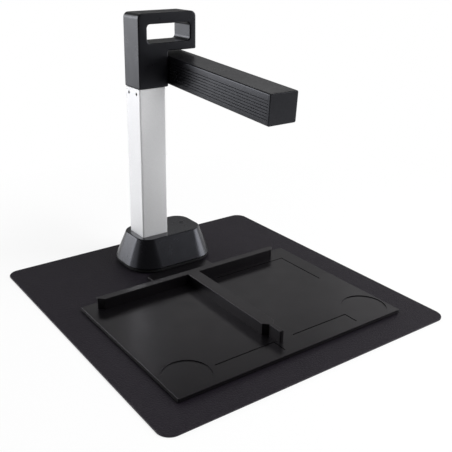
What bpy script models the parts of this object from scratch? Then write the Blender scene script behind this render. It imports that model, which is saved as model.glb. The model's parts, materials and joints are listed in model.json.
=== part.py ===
"""Document scanner: a camera arm on a column stand, with its desk mat and document tray.

All sizes are in metres. The origin is the middle of the mat's underside and +Z is up.
+X runs along the mat's back edge and -Y points to the user.
"""

from math import cos, pi, radians, sin, sqrt, tan

import bmesh
import bpy
from mathutils import Vector

# Fits shared by all the pieces
CLEAR = 0.0003  # gap between two pieces that seat on each other
OVERCUT = 0.002  # how far a cutter runs past the face that it opens
BITE = 0.001  # how far a fused feature reaches into the body that it grows from

# Facets on round shapes
CORNER_STEPS = 6
SMALL_STEPS = 2  # corners and edges of about a millimetre
ROUND_STEPS = 20
BOSS_STEPS = 12
SCREW_STEPS = 10
THUMB_STEPS = 40

# Desk mat
MAT_WIDTH = 0.365
MAT_DEPTH = 0.377
MAT_THICK = 0.002
MAT_CORNER = 0.014

# Document tray: plate, lip, pads and the tongue that meets the stand's base
TRAY_WIDTH = 0.291
TRAY_DEPTH = 0.202
TRAY_THICK = 0.0037
TRAY_SHIFT = -0.001  # tray's middle from the mat's middle, along X
TRAY_STAND_GAP = 0.0325  # tray's back edge to the front of the stand's base
TRAY_CORNER = 0.0012
TRAY_LIP = 0.0005
TRAY_LIP_THICK = 0.001
PAD_RADIUS = 0.006
PAD_PROUD = 0.0005
PAD_SEAT = 0.001
PAD_INSET = 0.016
TONGUE_WIDTH = 0.088
TONGUE_THICK = 0.002
TONGUE_GAP = 0.001
TONGUE_CHAMFER = 0.005

# Raised guide on the tray: a fence along the back and a divider with a thin nose
FENCE_HEIGHT = 0.0129
FENCE_THICK = 0.009
FENCE_BACK = 0.0105
FENCE_LEFT = 0.0145
FENCE_RIGHT = 0.027
FENCE_CHAMFER = 0.006
DIVIDER_SHIFT = -0.007  # divider's middle from the tray's middle, along X
DIVIDER_WIDTH = 0.0155
DIVIDER_LENGTH = 0.1385
NOSE_WIDTH = 0.005
NOSE_LENGTH = 0.0225
GUIDE_WALL = 0.002

# Corner marks and thumb recesses in the tray's top face
MARK_WIDTH = 0.0009
MARK_DEPTH = 0.0004
CARD_MARK_RUN = 0.103
CARD_MARK_DROP = 0.071
CARD_MARK_OFFSET = 0.1253  # divider's right face to the corner
CARD_MARK_BACK = 0.0055  # fence's front face to the mark
FRONT_MARK_BACK = 0.0265  # tray's front edge to the marks near it
FRONT_MARK_DROP = 0.018
RIGHT_MARK_RUN = 0.076
RIGHT_MARK_OFFSET = 0.0873  # divider's right face to the corner
LEFT_MARK_RUN = 0.0745
LEFT_MARK_OFFSET = 0.0018  # divider's left face to the corner, under the nose
THUMB_RADIUS = 0.025
THUMB_DEPTH = 0.0008
THUMB_SIDE = 0.027
THUMB_FRONT = 0.0275

# Stand base: tapered shell over a dark plate, with a shadow gap between them
STAND_SHIFT = 0.007  # stand's middle from the mat's middle, along X
STAND_BACK_MARGIN = 0.0645  # mat's back edge to the stand's middle
BASE_WIDTH = 0.1195
BASE_DEPTH = 0.087
BASE_CORNER = 0.034
SIDE_TAPER = 0.01375  # rim to top edge, at the sides
FRONT_TAPER = 0.0155  # rim to top edge, at the front and the back
TOP_CORNER = 0.018
TOP_EDGE = 0.0012
SHELL_HEIGHT = 0.0338
BASE_WALL = 0.0025
RIM_GAP = 0.0018
PLATE_THICK = 0.0031
PLATE_INSET = 0.0015
STEP_RISE = 0.0028
TUB_WALL = 0.002
FOOT_RADIUS = 0.006
FOOT_PROUD = 0.001
FOOT_SEAT = 0.001
FOOT_INSET = 0.0165

# Case screws that hold the shell to the plate
BOSS_RADIUS = 0.0035
BOSS_INSET = 0.0118
BOSS_SPREAD = 0.012
CASE_SCREW_RADIUS = 0.0015
CASE_SCREW_LENGTH = 0.010
CASE_HEAD_RADIUS = 0.0028
CASE_HEAD_HEIGHT = 0.0014

# Column and the casting that carries it
COLUMN_MARGIN = 0.02145  # left end of the base's rim to the column's left face
COLUMN_WIDTH = 0.036
COLUMN_DEPTH = 0.0334
COLUMN_LENGTH = 0.2173
COLUMN_WALL = 0.002
COLUMN_CORNER = 0.001
BORE_CORNER = 0.0005
SOLE_SIDE = 0.005  # column's left and right faces to the sole's edge
SOLE_FRONT = 0.0053  # column's front and back faces to the sole's edge
SOLE_THICK = 0.005
SOLE_CORNER = 0.002
PLUG_RISE = 0.028
PLUG_WALL = 0.004
SOLE_SCREW_SIDE = 0.0027  # sole's edges to the two screws
SOLE_SCREW_FRONT = 0.008
SOLE_SCREW_LENGTH = 0.0075
COLUMN_SCREW_RADIUS = 0.001
COLUMN_SCREW_LENGTH = 0.0028
COLUMN_HEAD_RADIUS = 0.0017
COLUMN_HEAD_HEIGHT = 0.0016
COLUMN_SCREW_SPREAD = 0.009
COLUMN_SCREW_DROP = 0.0063  # column's top edge down to the two screws

# Ballast, board, socket and touch key in the base
WEIGHT_MARGIN = 0.00245  # ballast to the screw bosses on its right
WEIGHT_WIDTH = 0.034
WEIGHT_THICK = 0.015
WEIGHT_GAP = 0.0013
POST_RADIUS = 0.0025
POST_GAP = 0.0005
POST_INSET = 0.004
BOARD_LIFT = 0.0043
BOARD_THICK = 0.0016
BOARD_GAP = 0.0033  # column's sole to the board
BOARD_MARGIN = 0.004  # board's right edge to the ballast's
CONNECTOR_LENGTH = 0.005
CONNECTOR_WIDTH = 0.008
CONNECTOR_HEIGHT = 0.005
BOARD_SCREW_RADIUS = 0.00125
BOARD_SCREW_LENGTH = 0.006
BOARD_HEAD_RADIUS = 0.0022
BOARD_HEAD_HEIGHT = 0.0012
SOCKET_WIDTH = 0.0089
SOCKET_HEIGHT = 0.0032
SOCKET_LENGTH = 0.0105
SOCKET_WALL = 0.0004
SOCKET_DEPTH = 0.0066
SOCKET_RECESS = 0.0012
SOCKET_REACH = 0.0055
SOCKET_MARGIN = 0.0005
SOCKET_CORNER = 0.0013
BLADE_WIDTH = 0.0067
BLADE_THICK = 0.0007
BLADE_LENGTH = 0.0045
KEY_MARGIN = 0.03075  # right end of the base's rim to the key
KEY_RADIUS = 0.0025
KEY_FLANGE = 0.001
KEY_FLANGE_THICK = 0.001

# Head: an upside-down L round a handle slot, closed by a cover set into its back
HEAD_SIDE_PROUD = 0.0004
HEAD_FRONT_PROUD = 0.0012
LEG_SIDE = 0.0034
OVERHANG_THICK = 0.0448
OVERHANG_GAP = 0.0051
OVERHANG_LIP = 0.002
HEAD_WALL = 0.0024
HEAD_CORNER = 0.0065
HEAD_SMALL_CORNER = 0.0008
HEAD_EDGE = 0.0007
SLOT_LEFT = 0.012
SLOT_RIGHT = 0.0085
SLOT_TOP = 0.0128
SLOT_HEIGHT = 0.0217
SLOT_CORNER = 0.0045
SLEEVE_WALL = 0.002
COVER_THICK = 0.002
HEAD_BOSS_RADIUS = 0.0026
HEAD_BOSS_GAP = 0.0006
HEAD_BOSS_RISE = 0.014  # hinge axis up to the lower boss
HEAD_SCREW_RADIUS = 0.0011
HEAD_SCREW_LENGTH = 0.008
HEAD_HEAD_RADIUS = 0.002
HEAD_HEAD_HEIGHT = 0.001

# Hinge between head and arm
ARM_DROOP = radians(4.2)
SPIGOT_LENGTH = 0.026
SPIGOT_WALL = 0.0035
CORE_THICK = 0.004
BEARING_THICK = 0.006
BEARING_HALF = 0.012
BEARING_RISE = 0.013
PIN_RADIUS = 0.006
PIN_BORE = 0.0036
PIN_FLANGE_RADIUS = 0.009
PIN_FLANGE_THICK = 0.003
PIN_TAIL = 0.001
WASHER_RADIUS = 0.0095
WASHER_THICK = 0.001
WASHER_COUNT = 3
NUT_FLATS = 0.018
NUT_THICK = 0.005
HUB_WIDTH = 0.0115
HUB_LENGTH = 0.0255

# Camera arm
ARM_WIDTH = 0.0369
ARM_HEIGHT = 0.0338
ARM_GAP = 0.0006  # head's leg to the arm's side
ARM_RISE = 0.0035  # head's underside up to the level arm's underside
ARM_TAIL = 0.014
ARM_TAIL_CORNER = 0.003
ARM_EDGE = 0.0012
ARM_WALL = 0.0022
FOLD_GAP = 0.0025  # folded arm's tip to the base's top face
GROOVE_COUNT = 7
GROOVE_PITCH = 0.00327
GROOVE_WIDTH = 0.0012
GROOVE_DEPTH = 0.0006
GROOVE_LOW = 0.0068  # arm's underside up to the lowest groove
CAP_THICK = 0.0026
CAP_EDGE = 0.0006
CAP_PLUG = 0.006
CAP_WALL = 0.002
COVER_PLATE_THICK = 0.0024
COVER_TAIL_GAP = 0.0011
ARM_BOSS_RADIUS = 0.0026
ARM_BOSS_GAP = 0.0004
ARM_BOSS_BACK = 0.024  # hinge axis to the rear pair of bosses
ARM_BOSS_FRONT = 0.012  # arm's tip to the front pair of bosses
ARM_SCREW_RADIUS = 0.0011
ARM_SCREW_LENGTH = 0.007
ARM_HEAD_RADIUS = 0.0019
ARM_HEAD_HEIGHT = 0.0012

# Camera and lamp in the arm
CAMERA_BACK = 0.0275  # arm's tip to the lens axis
CAMERA_BOARD_WIDTH = 0.020
CAMERA_BOARD_LENGTH = 0.028
CAMERA_BOARD_THICK = 0.0012
CAMERA_POST_RADIUS = 0.002
CAMERA_POST_INSET = 0.003
CAMERA_PLUG_LENGTH = 0.005
CAMERA_PLUG_WIDTH = 0.008
CAMERA_PLUG_HEIGHT = 0.004
BARREL_RADIUS = 0.007
BARREL_COLLAR = 0.0085
BARREL_COLLAR_THICK = 0.003
LENS_RADIUS = 0.0042
LENS_THICK = 0.002
LENS_CROWN = 0.0004
LENS_SEAT = 0.0025
WINDOW_RADIUS = 0.010
WINDOW_THICK = 0.0012
WINDOW_LEDGE = 0.0015
LAMP_BACK = 0.056  # arm's tip to the lamp board's front edge
LAMP_LENGTH = 0.104
LAMP_BOARD_WIDTH = 0.020
LAMP_BOARD_THICK = 0.0012
STRIP_WIDTH = 0.005
STRIP_LENGTH = 0.096
STRIP_SPREAD = 0.005
STRIP_FLANGE = 0.001
STRIP_FLANGE_THICK = 0.0008

# Cable from the main board to the camera
CABLE_RADIUS = 0.00175
CABLE_BEND = 0.009  # bends in the column and the head
CABLE_TURN = 0.006  # bend in the arm, behind the hinge pin
CABLE_HOLE = 0.003
CABLE_STEP = 0.009
CABLE_SHIFT = -0.0067  # cable's upright run from the column's middle, along X

# Base outlines
TOP_WIDTH = BASE_WIDTH - 2 * SIDE_TAPER
TOP_DEPTH = BASE_DEPTH - 2 * FRONT_TAPER

# Heights above the mat's top face
TRAY_BOTTOM = CLEAR + PAD_PROUD
TRAY_TOP = TRAY_BOTTOM + TRAY_THICK
LIP_BOTTOM = TRAY_BOTTOM + CLEAR
FENCE_TOP = TRAY_TOP + FENCE_HEIGHT
PLATE_BOTTOM = CLEAR + FOOT_PROUD
PLATE_FLOOR = PLATE_BOTTOM + PLATE_THICK
RIM_Z = PLATE_FLOOR + RIM_GAP
BASE_TOP = RIM_Z + SHELL_HEIGHT
STEP_TOP = RIM_Z + STEP_RISE
SOLE_BOTTOM = PLATE_FLOOR + CLEAR
SOLE_TOP = SOLE_BOTTOM + SOLE_THICK
COLUMN_BOTTOM = SOLE_TOP + CLEAR
COLUMN_TOP = COLUMN_BOTTOM + COLUMN_LENGTH
WEIGHT_BOTTOM = PLATE_FLOOR + CLEAR
BOARD_BOTTOM = WEIGHT_BOTTOM + WEIGHT_THICK + BOARD_LIFT
BOARD_TOP = BOARD_BOTTOM + BOARD_THICK
CABLE_Z = BOARD_TOP + CONNECTOR_HEIGHT / 2
SOCKET_BOTTOM = BOARD_TOP + CLEAR
SOCKET_Z = SOCKET_BOTTOM + SOCKET_HEIGHT / 2
HEAD_BOTTOM = COLUMN_TOP + CLEAR
PIVOT_Z = HEAD_BOTTOM + ARM_RISE + ARM_HEIGHT / 2
UNDER_Z = PIVOT_Z + ARM_HEIGHT / 2 + OVERHANG_GAP
HEAD_TOP = UNDER_Z + OVERHANG_THICK
CORE_BOTTOM = HEAD_BOTTOM + HEAD_WALL + CLEAR

# Places along X from the stand's middle
COLUMN_SHIFT = -BASE_WIDTH / 2 + COLUMN_MARGIN + COLUMN_WIDTH / 2
SOLE_WIDTH = COLUMN_WIDTH + 2 * SOLE_SIDE
SOLE_DEPTH = COLUMN_DEPTH + 2 * SOLE_FRONT
SOLE_RIGHT = COLUMN_SHIFT + SOLE_WIDTH / 2
BOSS_X = BASE_WIDTH / 2 - BOSS_INSET
WEIGHT_LEFT = SOLE_RIGHT + WEIGHT_GAP
WEIGHT_RIGHT = BOSS_X - BOSS_RADIUS - WEIGHT_MARGIN
BOARD_LEFT = SOLE_RIGHT + BOARD_GAP
BOARD_RIGHT = WEIGHT_RIGHT - BOARD_MARGIN
SOCKET_X = (BOARD_LEFT + BOARD_RIGHT) / 2
KEY_X = BASE_WIDTH / 2 - KEY_MARGIN
HEAD_LEFT = COLUMN_SHIFT - COLUMN_WIDTH / 2 - HEAD_SIDE_PROUD
LEG_RIGHT = COLUMN_SHIFT + COLUMN_WIDTH / 2 + LEG_SIDE
ARM_LEFT = LEG_RIGHT + ARM_GAP
ARM_RIGHT = ARM_LEFT + ARM_WIDTH
ARM_MIDDLE = ARM_LEFT + ARM_WIDTH / 2
HEAD_RIGHT = ARM_RIGHT + OVERHANG_LIP
CABLE_X = COLUMN_SHIFT + CABLE_SHIFT

# Places along Y from the stand's middle
HEAD_DEPTH = COLUMN_DEPTH + 2 * HEAD_FRONT_PROUD
HEAD_FRONT = -HEAD_DEPTH / 2
HEAD_BACK = HEAD_DEPTH / 2
POST_Y = WEIGHT_WIDTH / 2 + POST_RADIUS + POST_GAP

# Arm, measured from the hinge axis with the arm level
ARM_REACH = PIVOT_Z - BASE_TOP - FOLD_GAP
ARM_FRONT = -ARM_REACH + CAP_THICK + CLEAR  # front end of the housing, behind the cap
ARM_TOP = ARM_HEIGHT / 2
ARM_CEILING = ARM_TOP - ARM_WALL
COVER_TOP = -ARM_TOP + COVER_PLATE_THICK
CAMERA_Y = -ARM_REACH + CAMERA_BACK
LAMP_Y = -ARM_REACH + LAMP_BACK + LAMP_LENGTH / 2
CAMERA_BOARD_TOP = -CAMERA_PLUG_HEIGHT / 2
CAMERA_BOARD_BOTTOM = CAMERA_BOARD_TOP - CAMERA_BOARD_THICK
ARM_BOSS_X = ARM_WIDTH / 2 - ARM_WALL - ARM_BOSS_RADIUS - ARM_BOSS_GAP
ARM_BOSS_YS = (-ARM_BOSS_BACK, -ARM_REACH + ARM_BOSS_FRONT)
HUB_LEFT = ARM_LEFT + ARM_WALL + CLEAR
HUB_RIGHT = HUB_LEFT + HUB_WIDTH
HUB_BACK = ARM_TAIL - ARM_WALL - CLEAR
BEARING_RIGHT = LEG_RIGHT - HEAD_WALL - CLEAR
BEARING_LEFT = BEARING_RIGHT - BEARING_THICK
NUT_RIGHT = BEARING_LEFT - WASHER_COUNT * (WASHER_THICK + CLEAR) - CLEAR
PIN_LEFT = NUT_RIGHT - NUT_THICK - PIN_TAIL
PIN_RIGHT = HUB_RIGHT + CLEAR + PIN_FLANGE_THICK
CABLE_MEET = (LEG_RIGHT + ARM_LEFT) / 2
ARM_CABLE_X = PIN_RIGHT + CLEAR + CABLE_TURN

# Where the three loose groups stand
TRAY_X = TRAY_SHIFT
STAND_X = STAND_SHIFT
STAND_Y = MAT_DEPTH / 2 - STAND_BACK_MARGIN
TRAY_Y = STAND_Y - BASE_DEPTH / 2 - TRAY_STAND_GAP - TRAY_DEPTH / 2

# Finishes: colour, roughness and metallic value
FINISHES = {
    "mat": ((0.028, 0.027, 0.030), 0.75, 0.0),
    "tray": ((0.032, 0.031, 0.033), 0.50, 0.0),
    "black_shell": ((0.020, 0.020, 0.022), 0.38, 0.0),
    "black_matte": ((0.012, 0.012, 0.013), 0.60, 0.0),
    "silver": ((0.62, 0.62, 0.64), 0.32, 1.0),
    "steel": ((0.45, 0.45, 0.46), 0.35, 1.0),
    "dark_steel": ((0.06, 0.06, 0.065), 0.40, 1.0),
    "cast_alloy": ((0.40, 0.40, 0.41), 0.50, 1.0),
    "rubber": ((0.015, 0.015, 0.015), 0.85, 0.0),
    "board": ((0.02, 0.12, 0.05), 0.45, 0.0),
    "glass": ((0.60, 0.65, 0.70), 0.05, 0.0),
    "diffuser": ((0.85, 0.85, 0.82), 0.40, 0.0),
    "jacket": ((0.02, 0.02, 0.02), 0.55, 0.0),
}


# Outlines: lists of (u, v) points
def rounded(corners, steps=CORNER_STEPS):
    """Outline through (u, v, radius) corners, each turned into an arc of its radius."""
    points = []
    for index, (u, v, radius) in enumerate(corners):
        here = Vector((u, v))
        before = (Vector(corners[index - 1][:2]) - here).normalized()
        after = (Vector(corners[(index + 1) % len(corners)][:2]) - here).normalized()
        if radius <= 0:
            points.append((u, v))
            continue
        half = before.angle(after) / 2
        middle = here + (before + after).normalized() * radius / sin(half)
        first = here + before * radius / tan(half) - middle
        sweep = first.angle_signed(here + after * radius / tan(half) - middle)
        for step in range(steps + 1):
            turn = -sweep * step / steps
            across = first.x * cos(turn) - first.y * sin(turn)
            along = first.x * sin(turn) + first.y * cos(turn)
            points.append((middle.x + across, middle.y + along))
    return points


def rect(width, depth, radius=0.0, u=0.0, v=0.0, steps=CORNER_STEPS):
    """Rectangle round (u, v), with its corners rounded."""
    right, back = width / 2, depth / 2
    return rounded(
        [(u - right, v - back, radius), (u + right, v - back, radius),
         (u + right, v + back, radius), (u - right, v + back, radius)], steps)


def span(u0, v0, u1, v1):
    """Plain rectangle between two corners."""
    return [(u0, v0), (u1, v0), (u1, v1), (u0, v1)]


def circle(radius, u=0.0, v=0.0, steps=ROUND_STEPS):
    turns = [2 * pi * k / steps for k in range(steps)]
    return [(u + radius * cos(turn), v + radius * sin(turn)) for turn in turns]


# Solids built in a bmesh
def lift(outline, w, axis):
    """Puts a flat outline at height w along an axis."""
    if axis == "X":
        return [Vector((w, u, v)) for u, v in outline]
    if axis == "Y":
        return [Vector((u, w, v)) for u, v in outline]
    return [Vector((u, v, w)) for u, v in outline]


def loft(bm, loops):
    """Closed body through loops of equal length, with a flat face on the first and the last."""
    face = bm.faces.new([bm.verts.new(point) for point in loops[0]])
    for number, loop in enumerate(loops[1:]):
        made = bmesh.ops.extrude_face_region(bm, geom=[face])
        if number > 0:
            bmesh.ops.delete(bm, geom=[face], context="FACES_ONLY")
        face = next(item for item in made["geom"] if isinstance(item, bmesh.types.BMFace))
        for vert, point in zip(face.verts, loop):
            vert.co = point
    return bm


def prism(bm, outline, low, high, axis="Z"):
    return loft(bm, [lift(outline, low, axis), lift(outline, high, axis)])


def solid(outline, low, high, axis="Z"):
    """Prism in a bmesh of its own."""
    return prism(bmesh.new(), outline, low, high, axis)


def turned(bm, profile, u=0.0, v=0.0, axis="Z", steps=ROUND_STEPS):
    """Turned body: (radius, place along the axis) pairs from one end to the other."""
    return loft(bm, [lift(circle(radius, u, v, steps), w, axis) for radius, w in profile])


# Objects
def finish(name, look):
    colour, roughness, metallic = FINISHES[look]
    made = bpy.data.materials.new(name + "_finish")
    made.use_nodes = True
    shader = made.node_tree.nodes["Principled BSDF"]
    shader.inputs["Base Color"].default_value = (*colour, 1.0)
    shader.inputs["Roughness"].default_value = roughness
    shader.inputs["Metallic"].default_value = metallic
    return made


def link(name, bm, parent):
    bmesh.ops.recalc_face_normals(bm, faces=bm.faces)
    mesh = bpy.data.meshes.new(name)
    bm.to_mesh(mesh)
    bm.free()
    made = bpy.data.objects.new(name, mesh)
    made.parent = parent
    bpy.context.scene.collection.objects.link(made)
    return made


def piece(name, bm, look, parent=None):
    """One sub-part with its own material, round faces shaded smooth."""
    made = link(name, bm, parent)
    made.data.materials.append(finish(name, look))
    made.data.shade_smooth()
    made.data.set_sharp_from_angle(angle=radians(35))
    return made


def combine(target, bm, operation):
    """Adds a boolean step to a piece, with the tool body kept as a hidden wire guide."""
    tool = link(f"{target.name}_{operation.lower()}_{len(target.modifiers)}", bm, target.parent)
    tool.hide_render = True
    tool.display_type = "WIRE"
    step = target.modifiers.new(operation.lower(), "BOOLEAN")
    step.operation = operation
    step.solver = "EXACT"
    step.object = tool


def cut(target, bm):
    combine(target, bm, "DIFFERENCE")


def fuse(target, bm):
    combine(target, bm, "UNION")


def cut_through(target, outline, low, high, axis="Z"):
    """Cuts an outline right through, from below low to above high."""
    cut(target, solid(outline, low - OVERCUT, high + OVERCUT, axis))


def soften(target, width):
    """Rounds the sharp edges of a piece before its boolean steps."""
    step = target.modifiers.new("edges", "BEVEL")
    step.width = width
    step.segments = SMALL_STEPS
    step.limit_method = "ANGLE"
    step.angle_limit = radians(50)


def frame(name, place, parent=None, turn=0.0):
    """Empty that carries a group of pieces; the arm's stands on the hinge axis."""
    made = bpy.data.objects.new(name, None)
    made.location = place
    made.rotation_euler = (turn, 0.0, 0.0)
    made.parent = parent
    bpy.context.scene.collection.objects.link(made)
    return made


def screw(name, look, parent, place, axis, way, head, shank):
    """Socket screw: head and shank are (radius, length), place is the outer face of the head."""
    head_radius, head_height = head
    shank_radius, length = shank
    u, v, w = place
    socket_radius, socket_depth = shank_radius * 0.8, head_height * 0.6
    profile = [(socket_radius, socket_depth), (socket_radius, 0.0), (head_radius, 0.0),
               (head_radius, head_height), (shank_radius, head_height), (shank_radius, length)]
    placed = [(radius, w + way * along) for radius, along in profile]
    return piece(name, turned(bmesh.new(), placed, u, v, axis, SCREW_STEPS), look, parent)


def screw_hole(bm, place, axis, way, head, shank, deep):
    """Counterbored hole for a screw, running on past its tip by a clearance."""
    head_radius, head_height = head
    shank_radius, length = shank
    u, v, w = place
    wide, narrow = head_radius + CLEAR, shank_radius + CLEAR
    profile = [(wide, w - way * OVERCUT), (wide, w + way * (head_height + CLEAR)),
               (narrow, w + way * (head_height + CLEAR)), (narrow, w + way * (length + deep))]
    return turned(bm, profile, u, v, axis, SCREW_STEPS)


def cable(name, points, look, parent):
    """Round cable along points, with flat ends."""
    curve = bpy.data.curves.new(name, "CURVE")
    curve.dimensions = "3D"
    curve.bevel_depth = CABLE_RADIUS
    curve.bevel_resolution = 2
    curve.use_fill_caps = True
    line = curve.splines.new("POLY")
    line.points.add(len(points) - 1)
    for spot, point in zip(line.points, points):
        spot.co = (*point, 1.0)
    made = bpy.data.objects.new(name, curve)
    made.parent = parent
    curve.materials.append(finish(name, look))
    bpy.context.scene.collection.objects.link(made)
    return made


def straight(start, end):
    """Evenly spaced points from start up to, but without, end."""
    start, end = Vector(start), Vector(end)
    count = max(1, round((end - start).length / CABLE_STEP))
    return [start.lerp(end, k / count) for k in range(count)]


def quarter(middle, first, last, steps=5):
    """Points on a quarter bend round a middle, from one spoke to the other, without the last."""
    middle, first, last = Vector(middle), Vector(first), Vector(last)
    return [middle + first * cos(pi / 2 * k / steps) + last * sin(pi / 2 * k / steps) for k in range(steps)]


# Desk mat and tray
def make_mat():
    piece("desk_mat", solid(rect(MAT_WIDTH, MAT_DEPTH, MAT_CORNER), 0.0, MAT_THICK), "mat")


def guide_outline(fence_back, fence_front, left, right):
    """Fence and divider seen from above, fence ends chamfered towards the user."""
    divider_left = DIVIDER_SHIFT - DIVIDER_WIDTH / 2
    divider_right = DIVIDER_SHIFT + DIVIDER_WIDTH / 2
    nose_left = DIVIDER_SHIFT - NOSE_WIDTH / 2
    nose_right = DIVIDER_SHIFT + NOSE_WIDTH / 2
    shoulder = fence_front - DIVIDER_LENGTH
    neck = shoulder - (DIVIDER_WIDTH - NOSE_WIDTH) / 2
    tip = shoulder - NOSE_LENGTH
    return [
        (left, fence_back), (left, fence_front + FENCE_CHAMFER), (left + FENCE_CHAMFER, fence_front),
        (divider_left, fence_front), (divider_left, shoulder), (nose_left, neck), (nose_left, tip),
        (nose_right, tip), (nose_right, neck), (divider_right, shoulder), (divider_right, fence_front),
        (right - FENCE_CHAMFER, fence_front), (right, fence_front + FENCE_CHAMFER), (right, fence_back)]


def corner_mark(bm, corner_u, corner_v, run, drop):
    """Engraved corner: a line to the left of the corner and one towards the user."""
    outline = [(corner_u - run, corner_v), (corner_u - run, corner_v - MARK_WIDTH),
               (corner_u - MARK_WIDTH, corner_v - MARK_WIDTH), (corner_u - MARK_WIDTH, corner_v - drop),
               (corner_u, corner_v - drop), (corner_u, corner_v)]
    return prism(bm, outline, TRAY_TOP - MARK_DEPTH, TRAY_TOP + OVERCUT)


def tray_outline(grow):
    """Tray seen from above, grown by an offset."""
    return rect(TRAY_WIDTH + 2 * grow, TRAY_DEPTH + 2 * grow, TRAY_CORNER + grow, steps=SMALL_STEPS)


def make_tray(parent):
    half_width, half_depth = TRAY_WIDTH / 2, TRAY_DEPTH / 2
    tray = piece("document_tray", solid(tray_outline(0.0), TRAY_BOTTOM, TRAY_TOP), "tray", parent)

    fuse(tray, solid(tray_outline(TRAY_LIP), LIP_BOTTOM, LIP_BOTTOM + TRAY_LIP_THICK))

    base_front = half_depth + TRAY_STAND_GAP - TONGUE_GAP
    half_tongue = TONGUE_WIDTH / 2
    tongue = [(-half_tongue, half_depth - TRAY_THICK), (half_tongue, half_depth - TRAY_THICK),
              (half_tongue, base_front - TONGUE_CHAMFER), (half_tongue - TONGUE_CHAMFER, base_front),
              (TONGUE_CHAMFER - half_tongue, base_front), (-half_tongue, base_front - TONGUE_CHAMFER)]
    tongue_bottom = TRAY_BOTTOM + CLEAR
    fuse(tray, solid(tongue, tongue_bottom, tongue_bottom + TONGUE_THICK))

    back = half_depth - FENCE_BACK
    front = back - FENCE_THICK
    left, right = -half_width + FENCE_LEFT, half_width - FENCE_RIGHT
    guide = guide_outline(back, front, left, right)
    fuse(tray, solid(guide, TRAY_TOP - BITE, FENCE_TOP))

    core_left = DIVIDER_SHIFT - DIVIDER_WIDTH / 2 + GUIDE_WALL
    core_right = DIVIDER_SHIFT + DIVIDER_WIDTH / 2 - GUIDE_WALL
    ends = FENCE_CHAMFER + GUIDE_WALL
    core_back, core_front = back - GUIDE_WALL, front + GUIDE_WALL
    core_tip = core_front - DIVIDER_LENGTH
    first, last = left + ends, right - ends
    core = [(first, core_back), (first, core_front), (core_left, core_front), (core_left, core_tip),
            (core_right, core_tip), (core_right, core_front), (last, core_front), (last, core_back)]
    cut(tray, solid(core, TRAY_BOTTOM - OVERCUT, FENCE_TOP - GUIDE_WALL))

    marks = bmesh.new()
    right_face = DIVIDER_SHIFT + DIVIDER_WIDTH / 2
    left_face = DIVIDER_SHIFT - DIVIDER_WIDTH / 2
    card_mark, front_mark = front - CARD_MARK_BACK, -half_depth + FRONT_MARK_BACK
    corner_mark(marks, right_face + CARD_MARK_OFFSET, card_mark, CARD_MARK_RUN, CARD_MARK_DROP)
    corner_mark(marks, right_face + RIGHT_MARK_OFFSET, front_mark, RIGHT_MARK_RUN, FRONT_MARK_DROP)
    corner_mark(marks, left_face + LEFT_MARK_OFFSET, front_mark, LEFT_MARK_RUN, FRONT_MARK_DROP)
    cut(tray, marks)

    hollows = bmesh.new()
    for side in (-1, 1):
        u, v = side * (half_width - THUMB_SIDE), -half_depth + THUMB_FRONT
        outline = circle(THUMB_RADIUS, u, v, THUMB_STEPS)
        prism(hollows, outline, TRAY_TOP - THUMB_DEPTH, TRAY_TOP + OVERCUT)
    cut(tray, hollows)

    seats = bmesh.new()
    number = 0
    for side in (-1, 1):
        for end in (-1, 1):
            number += 1
            u, v = side * (half_width - PAD_INSET), end * (half_depth - PAD_INSET)
            seat_top = TRAY_BOTTOM + PAD_SEAT
            prism(seats, circle(PAD_RADIUS + CLEAR, u, v), TRAY_BOTTOM - OVERCUT, seat_top)
            pad = solid(circle(PAD_RADIUS, u, v), CLEAR, seat_top - CLEAR)
            piece(f"tray_pad_{number}", pad, "rubber", parent)
    cut(tray, seats)


# Stand base
def base_outline(inset):
    return rect(BASE_WIDTH - 2 * inset, BASE_DEPTH - 2 * inset, BASE_CORNER - inset)


def top_outline(inset):
    return rect(TOP_WIDTH - 2 * inset, TOP_DEPTH - 2 * inset, TOP_CORNER - inset)


def socket_outline(grow):
    """Socket seen from the back, grown by an offset."""
    return rect(SOCKET_WIDTH + 2 * grow, SOCKET_HEIGHT + 2 * grow, SOCKET_CORNER + grow, SOCKET_X, SOCKET_Z)


def shell_share(z):
    """How far up the shell a height is, from 0 at the rim to 1 at the top."""
    return (z - RIM_Z) / SHELL_HEIGHT


def column_outline(grow):
    """Column seen from above, grown by an offset."""
    corner = COLUMN_CORNER + grow
    return rect(COLUMN_WIDTH + 2 * grow, COLUMN_DEPTH + 2 * grow, corner, COLUMN_SHIFT, 0.0, SMALL_STEPS)


def shell_half_depth(z):
    return BASE_DEPTH / 2 - FRONT_TAPER * shell_share(z)


CASE_HEAD = (CASE_HEAD_RADIUS, CASE_HEAD_HEIGHT)
CASE_SHANK = (CASE_SCREW_RADIUS, CASE_SCREW_LENGTH)
SOLE_SHANK = (CASE_SCREW_RADIUS, SOLE_SCREW_LENGTH)
BOARD_HEAD = (BOARD_HEAD_RADIUS, BOARD_HEAD_HEIGHT)
BOARD_SHANK = (BOARD_SCREW_RADIUS, BOARD_SCREW_LENGTH)
CASE_SPOTS = [(u, v) for u in (-BOSS_X, BOSS_X) for v in (-BOSS_SPREAD, BOSS_SPREAD)]
SOLE_SCREW_X = SOLE_WIDTH / 2 - SOLE_SCREW_SIDE
SOLE_SCREW_Y = SOLE_DEPTH / 2 - SOLE_SCREW_FRONT
SOLE_SPOTS = [(COLUMN_SHIFT + side * SOLE_SCREW_X, side * SOLE_SCREW_Y) for side in (-1, 1)]
POST_XS = (BOARD_LEFT + POST_INSET, BOARD_RIGHT - POST_INSET)
POST_SPOTS = [(u, v) for u in POST_XS for v in (-POST_Y, POST_Y)]
BOARD_SPOTS = [POST_SPOTS[0], POST_SPOTS[3]]


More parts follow.
